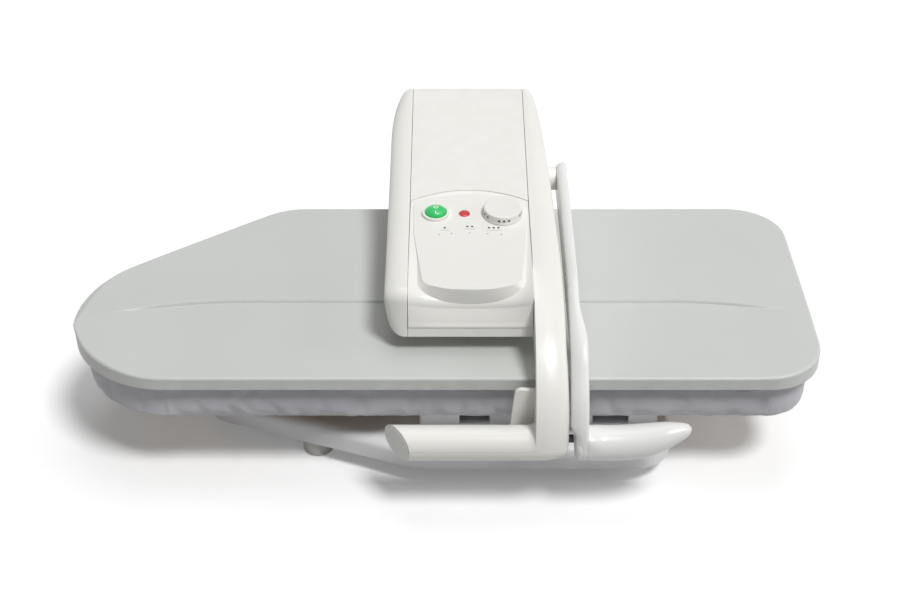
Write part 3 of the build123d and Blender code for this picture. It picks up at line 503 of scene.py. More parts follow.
def piece(name, bm, body, finish, nodes=(), sharp=25):
    """Finishes a mesh as a piece that rides on a body, in a slot's finish or in a print's ink."""
    mesh = to_mesh(name, bm)
    mesh.shade_smooth()
    mesh.set_sharp_from_angle(angle=radians(sharp))
    mesh.materials.append(FINISHES.get(finish) or PRINTS[finish])
    thing = in_scene(name, mesh)
    weights = thing.modifiers.new("even shading", "WEIGHTED_NORMAL")
    weights.keep_sharp = True
    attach(thing, body)
    if nodes:
        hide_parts(*nodes)
    return thing


# Pressing shoe and board

CREASE_Y, CREASE_STEP, CREASE_WIDTH = -0.0455, 0.0019, 0.0014
GROOVE_DEPTH, GROOVE_WIDTH = 0.0007, 0.0007
DROOP_MIDDLE, DROOP_START, DROOP_RUN, DROOP = 0.012, 0.200, 0.100, 0.0155
FADE_MIDDLE, FADE_START, FADE_RUN = 0.006, 0.255, 0.048
TOP_FALL = 0.003


def press_corners(inset_by):
    """Corners of the shoe's plan, moved inwards, with their radii."""
    left = -COVER_LENGTH / 2
    front, rear = COVER_FRONT + inset_by, COVER_REAR - inset_by
    right = COVER_LENGTH / 2 - inset_by
    nose = NOSE_RADIUS - inset_by
    touch_x = left + NOSE_RADIUS - nose * sin(NOSE_SLANT)
    touch_y = COVER_FRONT + NOSE_RADIUS + nose * cos(NOSE_SLANT)
    return [
        (right, rear, REAR_RIGHT_RADIUS - inset_by), (right, front, FRONT_RIGHT_RADIUS - inset_by),
        (touch_x + (front - touch_y) / tan(NOSE_SLANT), front, nose),
        (touch_x + (rear - touch_y) / tan(NOSE_SLANT), rear, REAR_LEFT_RADIUS - inset_by),
    ]


def crease_shift(x):
    """How far the crease has drooped forwards at this place along the cover."""
    run = max(abs(x - DROOP_MIDDLE) - DROOP_START, 0.0) / DROOP_RUN
    return -DROOP * run ** 1.7


def cover_drop(x, y):
    """How far the cover's top lies below its crest."""
    line = CREASE_Y + crease_shift(x)
    if y >= line:
        return TOP_FALL * ((y - line) / (COVER_REAR - line)) ** 2
    ahead = line - y
    fade = 1 - smooth((abs(x - FADE_MIDDLE) - FADE_START) / FADE_RUN)
    groove = GROOVE_DEPTH * exp(-((ahead - CREASE_WIDTH) / GROOVE_WIDTH) ** 2)
    step = CREASE_STEP * smooth(ahead / CREASE_WIDTH)
    return fade * (step + groove) + TOP_FALL * ahead / (line - COVER_FRONT)


def make_cover():
    """Painted cover: rounded rim, a crease along its length that droops at both ends, open underneath."""
    rim, lip, wall, hollow = 3.2 * MM, 0.3 * MM, 1.7 * MM, 13 * MM
    lift = 0.2 * MM
    bend_reach, upright, shift_run = 0.030, 8 * MM, 4 * MM
    bm = raised(rounded_outline(press_corners(0.0), radians(3)), COVER_BOTTOM, COVER_TOP)
    round_edges(bm, edges_where(bm, lambda p: p.z > COVER_TOP - MM), rim, 6)
    under = [face for face in bm.faces if face.normal.z < -0.99]
    for inwards, depth in ((lip, lift), (wall, 0.0), (lip, -hollow)):
        inset(bm, under, inwards, depth)
    bmesh.ops.translate(bm, verts=bm.verts[:], vec=(0, 0, lift))
    near_crease = (-14, -9, -5, -3, -2, -1.6, -1.2, -0.8, -0.4, 0, 0.4, 1, 2, 4, 8, 14)
    cut(bm, 1, [CREASE_Y + d * MM for d in near_crease])
    cut(bm, 1, spread(COVER_FRONT + 4 * MM, CREASE_Y - 22 * MM, 8))
    cut(bm, 1, spread(CREASE_Y + 24 * MM, COVER_REAR - 4 * MM, 14))
    cut(bm, 0, spread(-0.322, 0.322, 72))
    for vert in bm.verts:
        x, y, z = vert.co
        z = min(z, COVER_TOP)
        if z > COVER_BOTTOM + upright:
            near = exp(-((y - CREASE_Y) / bend_reach) ** 2)
            vert.co.y = y + crease_shift(x) * near * smooth((z - COVER_TOP + shift_run) / shift_run)
        share = (z - COVER_BOTTOM) / (COVER_TOP - COVER_BOTTOM)
        vert.co.z = z - cover_drop(x, vert.co.y) * share
    piece("shoe_cover_shell", bm, "head", "cover_paint", ["shoe_cover"], 35)


def make_pad():
    """Padded cloth cover of the board, drawn tight round its edge and hemmed underneath."""
    hem, hem_fold, hem_rise, hem_end = 11 * MM, 0.4 * MM, 3 * MM, 1.5 * MM
    bm = raised(rounded_outline(press_corners(0.010), radians(4)), TABLE_BOTTOM, TABLE_TOP)
    round_edges(bm, edges_where(bm, lambda p: p.z > TABLE_TOP - MM), 5 * MM)
    round_edges(bm, edges_where(bm, lambda p: p.z < TABLE_BOTTOM + MM), 6 * MM)
    under = [face for face in bm.faces if face.normal.z < -0.99]
    for inwards, depth in ((hem, 0.0), (hem_fold, -hem_rise), (hem_end, 0.0)):
        inset(bm, under, inwards, depth)
    bmesh.ops.delete(bm, geom=under, context="FACES_ONLY")
    cut(bm, 0, spread(-0.312, 0.312, 156))
    cut(bm, 1, spread(-0.138, 0.100, 40))
    cut(bm, 2, spread(TABLE_BOTTOM + 7 * MM, TABLE_TOP - 6 * MM, 7))
    bmesh.ops.dissolve_degenerate(bm, dist=0.05 * MM, edges=bm.edges[:])
    pad = piece("padded_board_cover", bm, "base", "pad_cloth", ["table_pad"], 80)
    return pad


def settle(thing, held, puff, cap, frames=20):
    """Lets a cloth skin settle over its filling: held points stay, and none moves past the cap."""
    mesh = thing.data
    start = [vert.co.copy() for vert in mesh.vertices]
    group = thing.vertex_groups.new(name="held")
    group.add([index for index, place in enumerate(start) if held(place)], 1.0, "REPLACE")
    cloth = thing.modifiers.new("cloth", "CLOTH")
    set_all(cloth.settings, quality=5, mass=0.15, tension_stiffness=18.0, compression_stiffness=10.0,
            bending_stiffness=0.15, shrink_min=-0.035, use_pressure=True, uniform_pressure_force=puff,
            vertex_group_mass=group.name)
    cloth.settings.effector_weights.gravity = 0.0
    set_all(cloth.point_cache, frame_start=1, frame_end=frames)
    for step in range(1, frames + 1):
        scene.frame_set(step)
    shown = thing.evaluated_get(bpy.context.evaluated_depsgraph_get()).to_mesh()
    settled = [vert.co.copy() for vert in shown.vertices]
    thing.modifiers.remove(cloth)
    scene.frame_set(1)
    for vert, before, after in zip(mesh.vertices, start, settled):
        move = after - before
        vert.co = before + move * (min(move.length, cap) / max(move.length, 1e-9))


def finish_pad(pad):
    """Cloth settled between the board's top and the hem, then smoothed by one subdivision."""
    settle(pad, lambda p: p.z > TABLE_TOP - 0.5 * MM or p.z < TABLE_BOTTOM + 0.5 * MM, 4.0, 2.2 * MM)
    skin = pad.modifiers.new("smooth cloth", "SUBSURF")
    skin.levels = skin.render_levels = 1


make_cover()
finish_pad(make_pad())


# Housing and handle

PARTING_Z, PARTING_GAP = GRIP_Z + 0.0020, 0.00022
END_TURN = radians(36)
END_NORMAL = Vector((-cos(END_TURN), -sin(END_TURN), 0))
END_PLACE = Vector((GRIP_LEFT + GRIP_RADIUS * tan(END_TURN), GRIP_Y, GRIP_Z))
LOWER_END = 0.0925
ARM_CROWN, ARM_INSET, CROWN_START = 0.0190, 0.0075, radians(16)
RIGHT_INNER = PANEL_RIGHT + SEAM / 2


def crown(run, inwards, count=7, start=0.0):
    """Steps (along, inwards) round a quarter ellipse that starts at an angle and ends square to the side."""
    angles = [start + (pi / 2 - start) * k / count for k in range(count + 1)]
    first = sin(start)
    places = [(run * (sin(a) - first) / (1 - first), inwards * (1 - cos(a) / cos(start))) for a in angles]
    return [(q[0] - p[0], q[1] - p[1]) for p, q in zip(places, places[1:])]


def crowned(corners, x0, x1, low, high, step=radians(6)):
    """Side profile, given as (y, z, radius), drawn out along X, with its ends drawn in by crown steps."""
    start = x0 + sum(along for along, _ in low)
    end = x1 - sum(along for along, _ in high)
    bm = raised(rounded_outline(corners, step), start, end)
    for side, steps in ((-1, low), (1, high)):
        cap = max(bm.faces, key=lambda face: side * face.calc_center_median().z)
        for along, inwards in steps:
            inset(bm, [cap], inwards, along)
    return outward(moved(bm, SIDEWAYS))


def draw_in(bm, inner, side, taper, run):
    """Draws a housing side in towards the rear, on a quarter ellipse in plan."""
    rings, inside = 16, 0.98
    cut(bm, 1, [HOUSING_REAR - run * (1 - sin(pi / 2 * k / rings)) for k in range(rings)])
    inwards = inside * taper * (1 if inner > side else -1)
    for vert in bm.verts:
        t = clamp((vert.co.y - HOUSING_REAR + run) / run)
        vert.co.x += inwards * (1 - sqrt(1 - t * t)) * (vert.co.x - inner) / (side - inner)


def housing_rear_corners():
    """Rear of the side profile, from the panel's last line round the hinge cover to its front foot."""
    low, radius = HINGE_Z - HINGE_COVER_RADIUS, HINGE_COVER_RADIUS - 0.1 * MM
    return [
        (PANEL_REAR_Y, PANEL_REAR_Z, 0), (HOUSING_REAR, ROOF_REAR_Z, ROOF_REAR_RADIUS),
        (HOUSING_REAR, low, radius), (HINGE_Y - HINGE_COVER_RADIUS, low, radius),
        (HINGE_Y - HINGE_COVER_RADIUS, HOUSING_BOTTOM, 0.010),
    ]


def make_left_shell():
    """Left side of the housing: crowned outwards, drawn in at the rear and tucked in at the bottom."""
    tuck, tuck_top = 0.0062, 0.170
    corners = [(HOUSING_FRONT_TOP, PANEL_FRONT_Z, 0.012), *housing_rear_corners()]
    corners.append((HOUSING_FRONT, HOUSING_BOTTOM, 0))
    inner = PANEL_LEFT - SEAM / 2
    bm = crowned(corners, HOUSING_LEFT, inner, crown(0.016, 0.0085, 9), crown(0.0006, 0.0006, 2))
    cut(bm, 2, spread(HOUSING_BOTTOM + 4 * MM, 0.172, 8))
    draw_in(bm, inner, HOUSING_LEFT, LEFT_TAPER, LEFT_RUN)
    for vert in bm.verts:
        share = clamp((inner - vert.co.x) / (inner - HOUSING_LEFT))
        fall = clamp((tuck_top - vert.co.z) / (tuck_top - HOUSING_BOTTOM))
        vert.co.x += tuck * fall ** 1.7 * share
    piece("housing_left_side", bm, "head", "housing_plastic", ["housing_left_shell"])


def front_corners(lean, rise, radius):
    """Corners of a leaning front that is rounded about the grip's axis at its foot."""
    foot = GRIP_Y - GRIP_RADIUS / cos(lean)
    return [(foot - GRIP_RADIUS * tan(lean), ARM_BOTTOM, GRIP_RADIUS),
            (foot + rise * tan(lean), GRIP_Z + rise, radius)]


def arm_inset(x):
    """How far the arm's crown has drawn its outline in at this place."""
    rise = clamp((x - HOUSING_RIGHT + ARM_CROWN) / ARM_CROWN)
    first = sin(CROWN_START)
    return ARM_INSET * (1 - sqrt(1 - (first + (1 - first) * rise) ** 2) / cos(CROWN_START))


def groove_parting_line(bm):
    """Shallow groove across the arm's front, where the grip's two halves meet."""
    half, depth = 0.3 * MM, 0.7 * MM
    cut(bm, 2, [PARTING_Z - half, PARTING_Z, PARTING_Z + half])
    for vert in bm.verts:
        if abs(vert.co.z - PARTING_Z) < 0.05 * MM and vert.co.y < GRIP_Y:
            vert.co.y += depth


def shape_arm_foot(bm):
    """Rounds the arm's lower right edge, and widens the arm a little towards its foot."""
    radius = 0.012
    widen, widen_y, widen_run = 0.0017, -0.140, 0.050
    hub_x, hub_z = HOUSING_RIGHT - radius, ARM_BOTTOM + radius
    for vert in bm.verts:
        dx, dz = vert.co.x - hub_x, vert.co.z - hub_z
        if vert.co.y < HOUSING_FRONT and dx > 0 > dz and hypot(dx, dz) > radius:
            vert.co.x = hub_x + dx * radius / hypot(dx, dz)
            vert.co.z = hub_z + dz * radius / hypot(dx, dz)
        share = (vert.co.x - RIGHT_INNER) / (HOUSING_RIGHT - RIGHT_INNER)
        vert.co.x += widen * smooth((widen_y - vert.co.y) / widen_run) * share


def screw_recess():
    """Drill for the side screw's sunk hole."""
    radius, depth, clear = 2.8 * MM, 8.9 * MM, 2 * MM
    drill = rounded_block(radius, radius, radius - 0.01 * MM, HOUSING_RIGHT - depth, HOUSING_RIGHT + clear,
                          radians(15))
    return moved(drill, Matrix.Translation((0, SCREW_Y, SCREW_Z)) @ SIDEWAYS)


def grip_bar(x1, radius, end):
    """Round bar that is laid along the grip's axis, overlong on the left for its slanted cut."""
    x0, start = GRIP_LEFT - 0.020, 1 * MM
    quarter = spread(0, pi / 2, 6)
    points = [(0, x0)]
    points += [(radius - start * (1 - sin(a)), x0 + start * (1 - cos(a))) for a in quarter]
    points += [(radius, x) for x in spread(x0 + start, x1 - end, 24)[1:-1]]
    points += [(radius - end * (1 - cos(a)), x1 - end * (1 - sin(a))) for a in quarter]
    return lay_along(lathe(points + [(0, x1)], 56))


def lay_along(bm, rise=lambda x: 0.0):
    """Lays a turned bar along X on the grip's axis, lifted by a rise that depends on X."""
    for vert in bm.verts:
        a, b, x = vert.co
        vert.co = (x, GRIP_Y + a, GRIP_Z + b + rise(x))
    return outward(bm)


def slanted_bar(x1, radius, keep_above):
    """Part of the grip above or below its parting line, with the slanted left end."""
    bm = grip_bar(x1, radius, 0.8 * MM)
    trim(bm, END_PLACE, END_NORMAL)
    way = -1 if keep_above else 1
    trim(bm, Vector((0, 0, PARTING_Z - way * PARTING_GAP)), Vector((0, 0, way)))
    round_edges(bm, edges_where(bm, lambda p: abs((p - END_PLACE).dot(END_NORMAL)) < 0.01 * MM
                                and (p.z - PARTING_Z) * way < -0.6 * MM), 1.4 * MM)
    return bm


def grip_upper_half():
    """Upper half of the grip, which swells in a small fillet where it meets the arm."""
    fillet = 0.006
    bm = slanted_bar(RIGHT_INNER + 0.3 * MM, GRIP_RADIUS, True)
    cut(bm, 0, spread(RIGHT_INNER - fillet, RIGHT_INNER, 6))
    for vert in bm.verts:
        t = clamp((vert.co.x - RIGHT_INNER + fillet) / fillet)
        up = vert.co.z - GRIP_Z
        if t > 0 and up > 0:
            vert.co.z += fillet * (1 - sqrt(1 - t ** 2)) * up / GRIP_RADIUS
    return bm


def make_right_shell():
    """Right side of the housing with the handle arm in front of it and the grip's upper half in one."""
    corners = [
        *housing_rear_corners(),
        (ARM_REAR_Y + 0.016, HOUSING_BOTTOM, 0.008), (ARM_REAR_Y, HOUSING_BOTTOM - 0.016, 0.012),
        (ARM_REAR_Y, ARM_BOTTOM, 0.0145), *front_corners(radians(8), 0.035, 0.094),
        (GRIP_Y + 0.035, PANEL_FRONT_Z - 0.022, 0.138), (GRIP_Y + 0.100, PANEL_FRONT_Z + 0.003, 0.235),
    ]
    bm = crowned(corners, RIGHT_INNER, HOUSING_RIGHT, crown(0.0006, 0.0006, 3),
                 crown(ARM_CROWN, ARM_INSET, 10, CROWN_START), radians(3))
    cut(bm, 2, spread(ARM_BOTTOM + 1.5 * MM, ARM_BOTTOM + 20 * MM, 8))
    groove_parting_line(bm)
    draw_in(bm, RIGHT_INNER, HOUSING_RIGHT, RIGHT_TAPER, RIGHT_RUN)
    shape_arm_foot(bm)
    shell = bored(bm, screw_recess())
    piece("housing_right_side", joined(shell, grip_upper_half()), "head", "housing_plastic",
          ["housing_right_shell"])


def make_grip_underside():
    """Lower half of the grip, which sinks with the arm's crown as it runs under the arm."""
    bm = slanted_bar(LOWER_END, GRIP_RADIUS + 0.1 * MM, False)
    for vert in bm.verts:
        sink = arm_inset(vert.co.x) / GRIP_RADIUS
        vert.co.y += (GRIP_Y - vert.co.y) * sink
        vert.co.z += (GRIP_Z - vert.co.z) * sink
    piece("grip_underside", bm, "head", "housing_plastic", ["grip_lower_shell"])


def make_grip_plug():
    """Plug that closes the grip's slanted end."""
    bm = grip_bar(GRIP_LEFT + 0.03, GRIP_RADIUS - 2.6 * MM, 1 * MM)
    trim(bm, END_PLACE + END_NORMAL * 0.3 * MM, END_NORMAL)
    round_edges(bm, edges_where(bm, lambda p: (p - END_PLACE).dot(END_NORMAL) > 0.2 * MM), 0.6 * MM, 3)
    piece("grip_end_plug", bm, "head", "housing_plastic", ["grip_end_cap"])


def make_handle_plate():
    """Inner plate behind the arm's foot, with its wing beside the grip."""
    right, foot = HOUSING_RIGHT - 2 * MM, GRIP_Z - 9 * MM
    corners = [(0.0556, foot, 0.003), (right, foot, 0.003), (right, 0.1165, 0.003), (0.0603, 0.1185, 0.006)]
    bm = raised(rounded_outline(corners, radians(8)), 0, 4.2 * MM)
    round_edges(bm, edges_where(bm, lambda p: True), 0.7 * MM, 3)
    for vert in bm.verts:
        x, z, y = vert.co
        vert.co = (x, ARM_REAR_Y + y, z)
    piece("handle_inner_plate", outward(bm), "head", "housing_plastic", ["handle_inner_shell"], 35)


# Pressure lever

LEVER_THICK, LEVER_THIN = 0.0150, 0.0095
ROD_LEFT, ROD_EDGE = 0.1108, 0.0045
FIN_START = 0.114
FIN_RADIUS = in_mm([
    (114, 14.5), (118.5, 14.6), (120.5, 15), (148, 15), (168.1, 14.6), (178.2, 13.6), (187.5, 11.8),
    (196, 9.1), (202.5, 6.6), (205.8, 4.6), (207.3, 2.6), (208, 0)])
FIN_RISE = in_mm([
    (114, 0), (148, 0), (168.1, 2.1), (178.2, 4.4), (187.5, 7.5), (197.4, 11), (205.1, 13.6), (208, 14.2)])


def along_table(table, x):
    """Smooth curve through (x, value) rows."""
    k = max(0, min(len(table) - 2, sum(row[0] <= x for row in table) - 1))
    (x0, v0), (x1, v1) = table[k], table[k + 1]
    before = table[max(k - 1, 0)]
    after = table[min(k + 2, len(table) - 1)]
    run = x1 - x0
    m0 = (v1 - before[1]) / (x1 - before[0]) * run
    m1 = (after[1] - v0) / (after[0] - x0) * run
    t = clamp((x - x0) / run)
    low = v0 * (1 + 2 * t) * (1 - t) ** 2 + m0 * t * (1 - t) ** 2
    return low + v1 * t * t * (3 - 2 * t) + m1 * t * t * (t - 1)


def lever_arm():
    """Ridged arm beside the housing, thinner behind and set over the rod at its foot."""
    slim_y, slim_run = -0.150, 0.044
    foot_z, foot_run = 0.100, 0.012
    top, low, end = PIVOT_Z + 0.016, PIVOT_Z - 0.016, PIVOT_Y + 0.016
    corners = [
        (end, top, 0.0155), (end, low, 0.0155), (GRIP_Y + 0.125, low - 0.009, 0.060),
        (GRIP_Y + 0.038, low - 0.020, 0.020), (ARM_REAR_Y - 3 * MM, low - 0.046, 0.025),
        (GRIP_Y + GRIP_RADIUS, ARM_BOTTOM, 0.0147), *front_corners(radians(9), 0.033, 0.080),
        (GRIP_Y + 0.036, low, 0.080), (GRIP_Y + 0.105, top - 0.010, 0.080),
    ]
    bm = crowned(corners, LEVER_LEFT, LEVER_LEFT + LEVER_THICK, crown(0.0088, 0.0050, 8, radians(22)),
                 crown(0.0030, 0.0024, 6, radians(10)), radians(4))
    cut(bm, 1, spread(-0.190, 0.090, 56))
    cut(bm, 2, spread(0.084, 0.160, 19))
    for vert in bm.verts:
        share = (vert.co.x - LEVER_LEFT) / LEVER_THICK
        vert.co.x -= (LEVER_THICK - LEVER_THIN) * smooth((vert.co.y - slim_y) / slim_run) * share
        vert.co.x += (ROD_LEFT - LEVER_LEFT) * smooth((foot_z - vert.co.z) / foot_run) * (1 - share)
    return bm


def lever_fin():
    """Rod and fin for the hand: turned, swept up at its tip, and squared where it leaves the arm."""
    points = [(0, ROD_LEFT)]
    points += [(GRIP_RADIUS - ROD_EDGE * (1 - sin(a)), ROD_LEFT + ROD_EDGE * (1 - cos(a)))
               for a in spread(0, pi / 2, 6)]
    points += [(max(along_table(FIN_RADIUS, x), 0.0), x) for x in spread(ROD_LEFT + ROD_EDGE, 0.2075, 44)[1:]]
    bm = lay_along(lathe(points + [(0, 0.2079)], 56), lambda x: along_table(FIN_RISE, max(x, FIN_START)))
    for vert in bm.verts:
        ahead, up = GRIP_Y - vert.co.y, vert.co.z - GRIP_Z
        if ahead > 0 and up > 0:
            near = smooth((0.136 - vert.co.x) / 0.014) * smooth((vert.co.x - 0.1180) / 0.0025)
            square = near * (hypot(ahead, up) / (ahead ** 4 + up ** 4) ** 0.25 - 1)
            vert.co.y -= ahead * square
            vert.co.z += up * square
    return bm


make_left_shell()
make_right_shell()
make_grip_underside()
make_grip_plug()
make_handle_plate()
piece("pressure_lever_arm", joined(lever_arm(), lever_fin()), "lever", "lever_plastic", ["pressure_lever"])


# Control panel

PANEL_HALF, PANEL_MIDDLE = (PANEL_RIGHT - PANEL_LEFT) / 2, (PANEL_RIGHT + PANEL_LEFT) / 2
ARC_Y, ARC_RISE = 0.0183, 0.0150
TONGUE_X, TONGUE_HALF, TONGUE_HEIGHT = 0.0233, 0.050, 0.010
TONGUE = in_mm([
    (73.8, 20, 13), (23.3, 29, 60), (-27.2, 20, 13), (-26.2, -30, 150), (-17.2, -100.5, 12), (2, -107.2, 90),
    (23.5, -110.1, 110), (45, -107.2, 90), (66, -100, 12), (73.5, -30, 150)])


def panel_top(y):
    """Height of the panel's slope, which follows the roof behind its last line."""
    if y < PANEL_REAR_Y:
        return PANEL_FRONT_Z + (y - HOUSING_FRONT_TOP) * tan(PANEL_SLOPE)
    return PANEL_REAR_Z + (y - PANEL_REAR_Y) * tan(ROOF_SLOPE)


def panel_edge(x):
    """Rear arc of the panel in plan."""
    return ARC_Y + ARC_RISE * (1 - ((x - PANEL_MIDDLE) / PANEL_HALF) ** 2)


def dish_depth(x, y):
    """How far the dish round the tongue lies below the panel's slope."""
    rim, rim_start, rim_run = 2.2 * MM, 3.2 * MM, 4 * MM
    fall, scoop, run = 3.0 * MM, 6.6 * MM, 130 * MM
    away = 1 - clamp(min(x - PANEL_LEFT, PANEL_RIGHT - x) / PANEL_HALF)
    behind = panel_edge(x) - y
    forward = clamp(behind / run)
    valley = rim * smooth((behind - rim_start) / rim_run) + fall * forward
    return (1 - away ** 4.2) * valley + (1 - away ** 2) * scoop * forward ** 5


def dished_sheet():
    """Sheet over the panel: up its front, round the bend and back along the dish."""
    front_rows, bend_rows = 0.40, 0.18
    bend_radius, front_y, low = 0.012, HOUSING_FRONT + 0.3 * MM, STRIP_TOP + 2 * SEAM
    left, right = PANEL_LEFT + SEAM, PANEL_RIGHT - SEAM
    bm = bmesh.new()
    bmesh.ops.create_grid(bm, x_segments=72, y_segments=84, size=0.5)
    for vert in bm.verts:
        u, v = vert.co.x + 0.5, vert.co.y + 0.5
        u = (1 - cos(pi * u)) / 2 * 0.6 + 0.4 * u
        x = left + (right - left) * u
        rear = panel_edge(x) - SEAM
        depth = dish_depth(x, HOUSING_FRONT_TOP + 6 * MM)
        corner_y, corner_z = HOUSING_FRONT_TOP + 0.30 * depth, PANEL_FRONT_Z - depth
        radius = bend_radius - 0.42 * depth
        if v < front_rows:
            t = v / front_rows
            z = low + (corner_z - low - radius) * t
            y = front_y + (corner_y - front_y) * (0.08 * smooth((t - 0.04) / 0.22) + 0.92 * t ** 1.25)
        elif v < front_rows + bend_rows:
            angle = pi / 2 * (v - front_rows) / bend_rows
            y = corner_y + radius * (1 - cos(angle))
            z = corner_z - radius + radius * sin(angle)
            z += (panel_top(y) - dish_depth(x, y) - corner_z) * sin(angle) ** 2
        else:
            t = (v - front_rows - bend_rows) / (1 - front_rows - bend_rows)
            y = corner_y + radius + (rear - corner_y - radius) * t
            z = panel_top(y) - dish_depth(x, y)
        vert.co = (x, y, z)
    outward(bm)
    if sum(face.normal.z for face in bm.faces) < 0:
        bmesh.ops.reverse_faces(bm, faces=bm.faces[:])
    bmesh.ops.solidify(bm, geom=bm.faces[:], thickness=1.8 * MM)
    return bm


def raised_tongue():
    """Tongue that carries the controls, level with the slope, its sides flared down into the dish."""
    root, stand = 4.5 * MM, 0.15 * MM
    bm = raised(rounded_outline(TONGUE, radians(3)), 0, TONGUE_HEIGHT)
    cut(bm, 1, spread(-0.100, 0.018, 12))
    cut(bm, 2, spread(0, TONGUE_HEIGHT, 4)[1:-1])
    for vert in bm.verts:
        x, y, z = vert.co
        fall = 1 - z / TONGUE_HEIGHT
        depth = dish_depth(x, y) + root
        flare = depth * fall ** 1.4
        widen = (0.34 + 2.1 * smooth((-0.020 - y) / 0.090) ** 2) * flare
        back = -0.12 * flare * min((y + 0.070) / 0.060, 0.0)
        vert.co = (x + widen * (x - TONGUE_X) / TONGUE_HALF, y + back, panel_top(y) + stand - depth * fall)
    outward(bm)
    round_edges(bm, edges_where(bm, lambda p: p.z > panel_top(p.y)), 1.1 * MM)
    return bm


# Controls and prints, each square to the panel's slope

PRINT_FOOT = -0.1 * MM
DOT_RADIUS = 1.05 * MM


def on_panel(x, y, height=0.0):
    """Matrix that puts a piece on the panel's outer face, with its Z square to the slope."""
    slope = Matrix.Rotation(PANEL_SLOPE, 4, "X")
    return Matrix.Translation((x, y, panel_top(y))) @ slope @ Matrix.Translation((0, 0, height))


def disc(height, edge):
    """Printed dot with a softened rim."""
    return lathe([(0, PRINT_FOOT), (DOT_RADIUS, PRINT_FOOT), (DOT_RADIUS, height - edge),
                  (DOT_RADIUS - edge, height), (0, height)], 24)


def bar_mark(length, width, height):
    """Short line with round ends."""
    end = min(length, width) / 2 * 0.98
    return rounded_block(length / 2, width / 2, end, PRINT_FOOT, height, radians(20))


def make_rocker():
    """Green rocker under its pale bezel, with a white ring and bar on its two halves."""
    place = on_panel(ROCKER_X, CONTROLS_Y)
    tilted = place @ Matrix.Translation((0, 0, 0.5 * MM)) @ Matrix.Rotation(radians(-3), 4, "X")
    valley, valley_edge, valley_slope = 0.6 * MM, 0.3 * MM, tan(radians(5))
    dome = lathe(in_mm([(0, -1.4), (9.45, -1.4), (9.55, 0.4), (9.4, 1.9), (8.8, 3.9), (7.6, 5.3), (5.6, 6.1),
                        (3, 6.45), (0, 6.5)]), 64)
    cut(dome, 1, [-valley, 0, valley])
    for vert in dome.verts:
        if vert.co.z > 0:
            sink = max(abs(vert.co.y) - valley_edge, 0) * valley_slope
            vert.co.z -= sink * min(vert.co.z / (3 * MM), 1.0)
    piece("rocker_cap", moved(dome, tilted), "rocker", "green_plastic", ["power_rocker"], 50)

    def on_half(lean, y, height):
        return tilted @ Matrix.Translation((0, y, height)) @ Matrix.Rotation(radians(lean), 4, "X")

    zero = lathe(in_mm([(1.3, -0.3), (2.3, -0.3), (2.3, 0.12), (2.15, 0.2), (1.45, 0.2), (1.3, 0.12)]),
                 closed=True)
    one = bar_mark(0.9 * MM, 3.4 * MM, 0.22 * MM)
    moved(zero, on_half(-5, 0.8 * MM, 6.34 * MM))
    moved(one, on_half(22, -6.1 * MM, 5.3 * MM))
    piece("rocker_marks", joined(zero, one), "rocker", "white", sharp=40)
    bezel = lathe(in_mm([(10.05, -0.3), (10.05, 1.7), (10.2, 2.2), (10.7, 2.55), (11.3, 2.3), (12.0, 1.5),
                         (12.5, 0.7), (12.8, -0.3)]), 64, closed=True)
    well = lathe(in_mm([(0, -3.4), (10.1, -3.4), (10.1, 0.6), (10.0, 0.6), (10.0, -3.1), (0, -3.1)]))
    piece("rocker_bezel", moved(joined(bezel, well), place), "head", "housing_plastic", sharp=40)


def make_knob():
    """Temperature knob: low drum with a soft top edge, a skirt and dots round its side."""
    dots_out, dots_up, dots_lean = 17.15 * MM, 4.4 * MM, 0.06
    place = on_panel(KNOB_X, CONTROLS_Y)
    drum = lathe(in_mm([(0, 0.5), (17.5, 0.5), (17.8, 0.7), (17.8, 1.3), (17.6, 1.6), (17.35, 1.7),
                        (17.3, 2.2), (17.0, 7.2), (16.8, 7.8), (16.3, 8.15), (15.6, 8.2), (14.0, 8.1),
                        (0, 8.05)]), 96)
    piece("knob_drum", moved(drum, place), "knob", "housing_plastic", ["temperature_knob"], 40)
    out = Matrix.Translation((dots_out, 0, dots_up)) @ Matrix.Rotation(pi / 2 - dots_lean, 4, "Y")
    dots = []
    for bearing in (-69, -51, -12, 3, 18, 62, 74, 86, 98, 150):
        turn = Matrix.Rotation(radians(bearing - 90), 4, "Z")
        dots.append(moved(disc(0.16 * MM, 0.08 * MM), place @ turn @ out))
    piece("knob_dots", joined(*dots), "knob", "black", sharp=40)


def make_prints():
    """Dots over thin underlines and small grey marks, printed on the tongue."""
    lift, dot_pitch, line_gap, ink = 0.2 * MM, 4.2 * MM, 3.6 * MM, 0.12 * MM
    dots, lines = [], []
    for x, y, count in ((0.0011, -0.0222, 1), (0.0232, -0.0203, 2), (0.0445, -0.0222, 3)):
        for k in range(count):
            dot_x = x + (k - (count - 1) / 2) * dot_pitch
            dots.append(moved(disc(ink, 0.05 * MM), on_panel(dot_x, y, lift)))
        line = bar_mark((5.2 + 2.6 * count) * MM, 0.34 * MM, ink)
        lines.append(moved(line, on_panel(x, y - line_gap, lift)))
    for x, y, turn in ((-0.0036, -0.0322, 0.3), (0.0072, -0.0308, -0.5), (0.0231, -0.0296, 0.0),
                       (0.0390, -0.0308, 0.4), (0.0512, -0.0320, -0.3)):
        corners = [(0.0013, 0.0, 0.0003), (-0.0008, 0.0010, 0.0004), (-0.0008, -0.0010, 0.0004)]
        wedge = raised(rounded_outline(corners, radians(30)), PRINT_FOOT, ink)
        lines.append(moved(wedge, on_panel(x, y, lift) @ Matrix.Rotation(turn, 4, "Z")))
    piece("panel_dots", joined(*dots), "head", "black", sharp=40)
    piece("panel_lines", joined(*lines), "head", "grey", sharp=40)


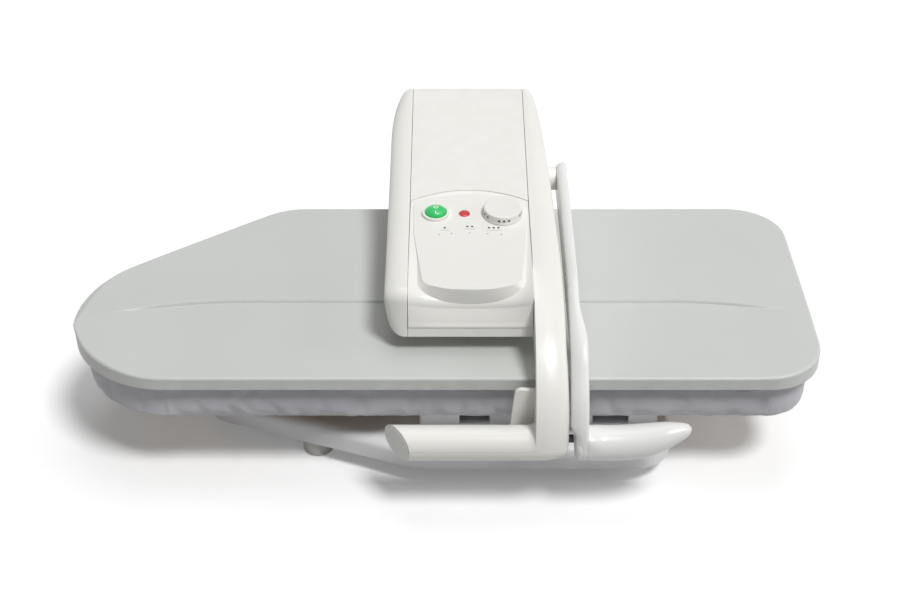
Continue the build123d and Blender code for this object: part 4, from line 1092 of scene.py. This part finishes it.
def make_lens():
    """Red lens of the pilot lamp, with a thin rim."""
    place = on_panel(PILOT_X, CONTROLS_Y)
    cap = lathe(in_mm([(0, -1.0), (5.0, -1.0), (5.0, 0.5), (4.7, 0.95), (4.0, 1.35), (2.6, 1.7), (0, 1.85)]))
    piece("pilot_cap", moved(cap, place), "head", "red_lens", ["pilot_lens"], 60)
    rim = lathe(in_mm([(5.02, -0.3), (5.02, 0.45), (5.2, 0.55), (5.7, 0.35), (5.9, -0.3)]), closed=True)
    piece("pilot_rim", moved(rim, place), "head", "housing_plastic", sharp=40)


panel = joined(dished_sheet(), raised_tongue())
piece("panel_skin", panel, "head", "housing_plastic", ["control_panel"], 30)
make_rocker()
make_knob()
make_prints()
make_lens()


# Floor, lamps and camera

WHITE = (1.0, 1.0, 1.0, 1.0)
FLOOR_GLOW = 0.16
WORLD_LIGHT = 0.13
CAMERA_PLACE, CAMERA_TILT = (0.00575, -1.1802, 0.930), radians(54.65)


def make_floor():
    """Pale floor that keeps the object's shadow and turns white where it is fully lit."""
    bm = bmesh.new()
    bmesh.ops.create_grid(bm, x_segments=2, y_segments=2, size=6.0)
    material, s, shader = new_material(
        "white floor", Roughness=0.9, Specular_IOR_Level=0.1, Emission_Color=WHITE)
    seen = s.seen_ray()
    s.fill(shader, Base_Color=s.blend(seen, srgb(190, 190, 190), WHITE),
           Emission_Strength=s.maths("MULTIPLY", seen, FLOOR_GLOW))
    floor = in_scene("floor", to_mesh("floor", bm))
    floor.data.materials.append(material)


def add_lamp(name, kind, power, aim, place=(0.0, 0.0, 0.0), **settings):
    """Lamp that shines along a direction."""
    data = bpy.data.lights.new(name, kind)
    set_all(data, energy=power, **settings)
    lamp = in_scene(name, data)
    lamp.location = place
    lamp.rotation_euler = Vector(aim).to_track_quat("-Z", "Y").to_euler()


def add_softbox(name, power, place, size, size_y):
    """Area lamp that looks at the object."""
    add_lamp(name, "AREA", power, Vector((0.0, 0.0, 0.1)) - Vector(place), place, shape="RECTANGLE",
             size=size, size_y=size_y)


def make_studio():
    """World that shows white, and lights the object softly."""
    world = bpy.data.worlds.new("studio")
    world.use_nodes = True
    scene.world = world
    s = Shader(world.node_tree)
    background = next(node for node in world.node_tree.nodes if node.type == "BACKGROUND")
    s.fill(background, Color=WHITE, Strength=s.remap(s.seen_ray(), 0.0, 1.0, WORLD_LIGHT, 1.0))


make_floor()
add_lamp("key", "SUN", 2.02, (-0.7, 0.85, -2.05), angle=radians(15))
add_softbox("overhead softbox", 10.0, (0.15, 0.35, 2.3), 1.4, 1.2)
add_softbox("right softbox", 6.0, (2.0, -0.2, 1.2), 1.0, 1.2)
make_studio()

camera = in_scene("camera", bpy.data.cameras.new("camera"))
set_all(camera.data, lens=62.04, sensor_width=36.0)
camera.location = CAMERA_PLACE
camera.rotation_euler = (CAMERA_TILT, 0.0, 0.0)
bpy.context.scene.camera = camera
scene.view_settings.view_transform = "Standard"
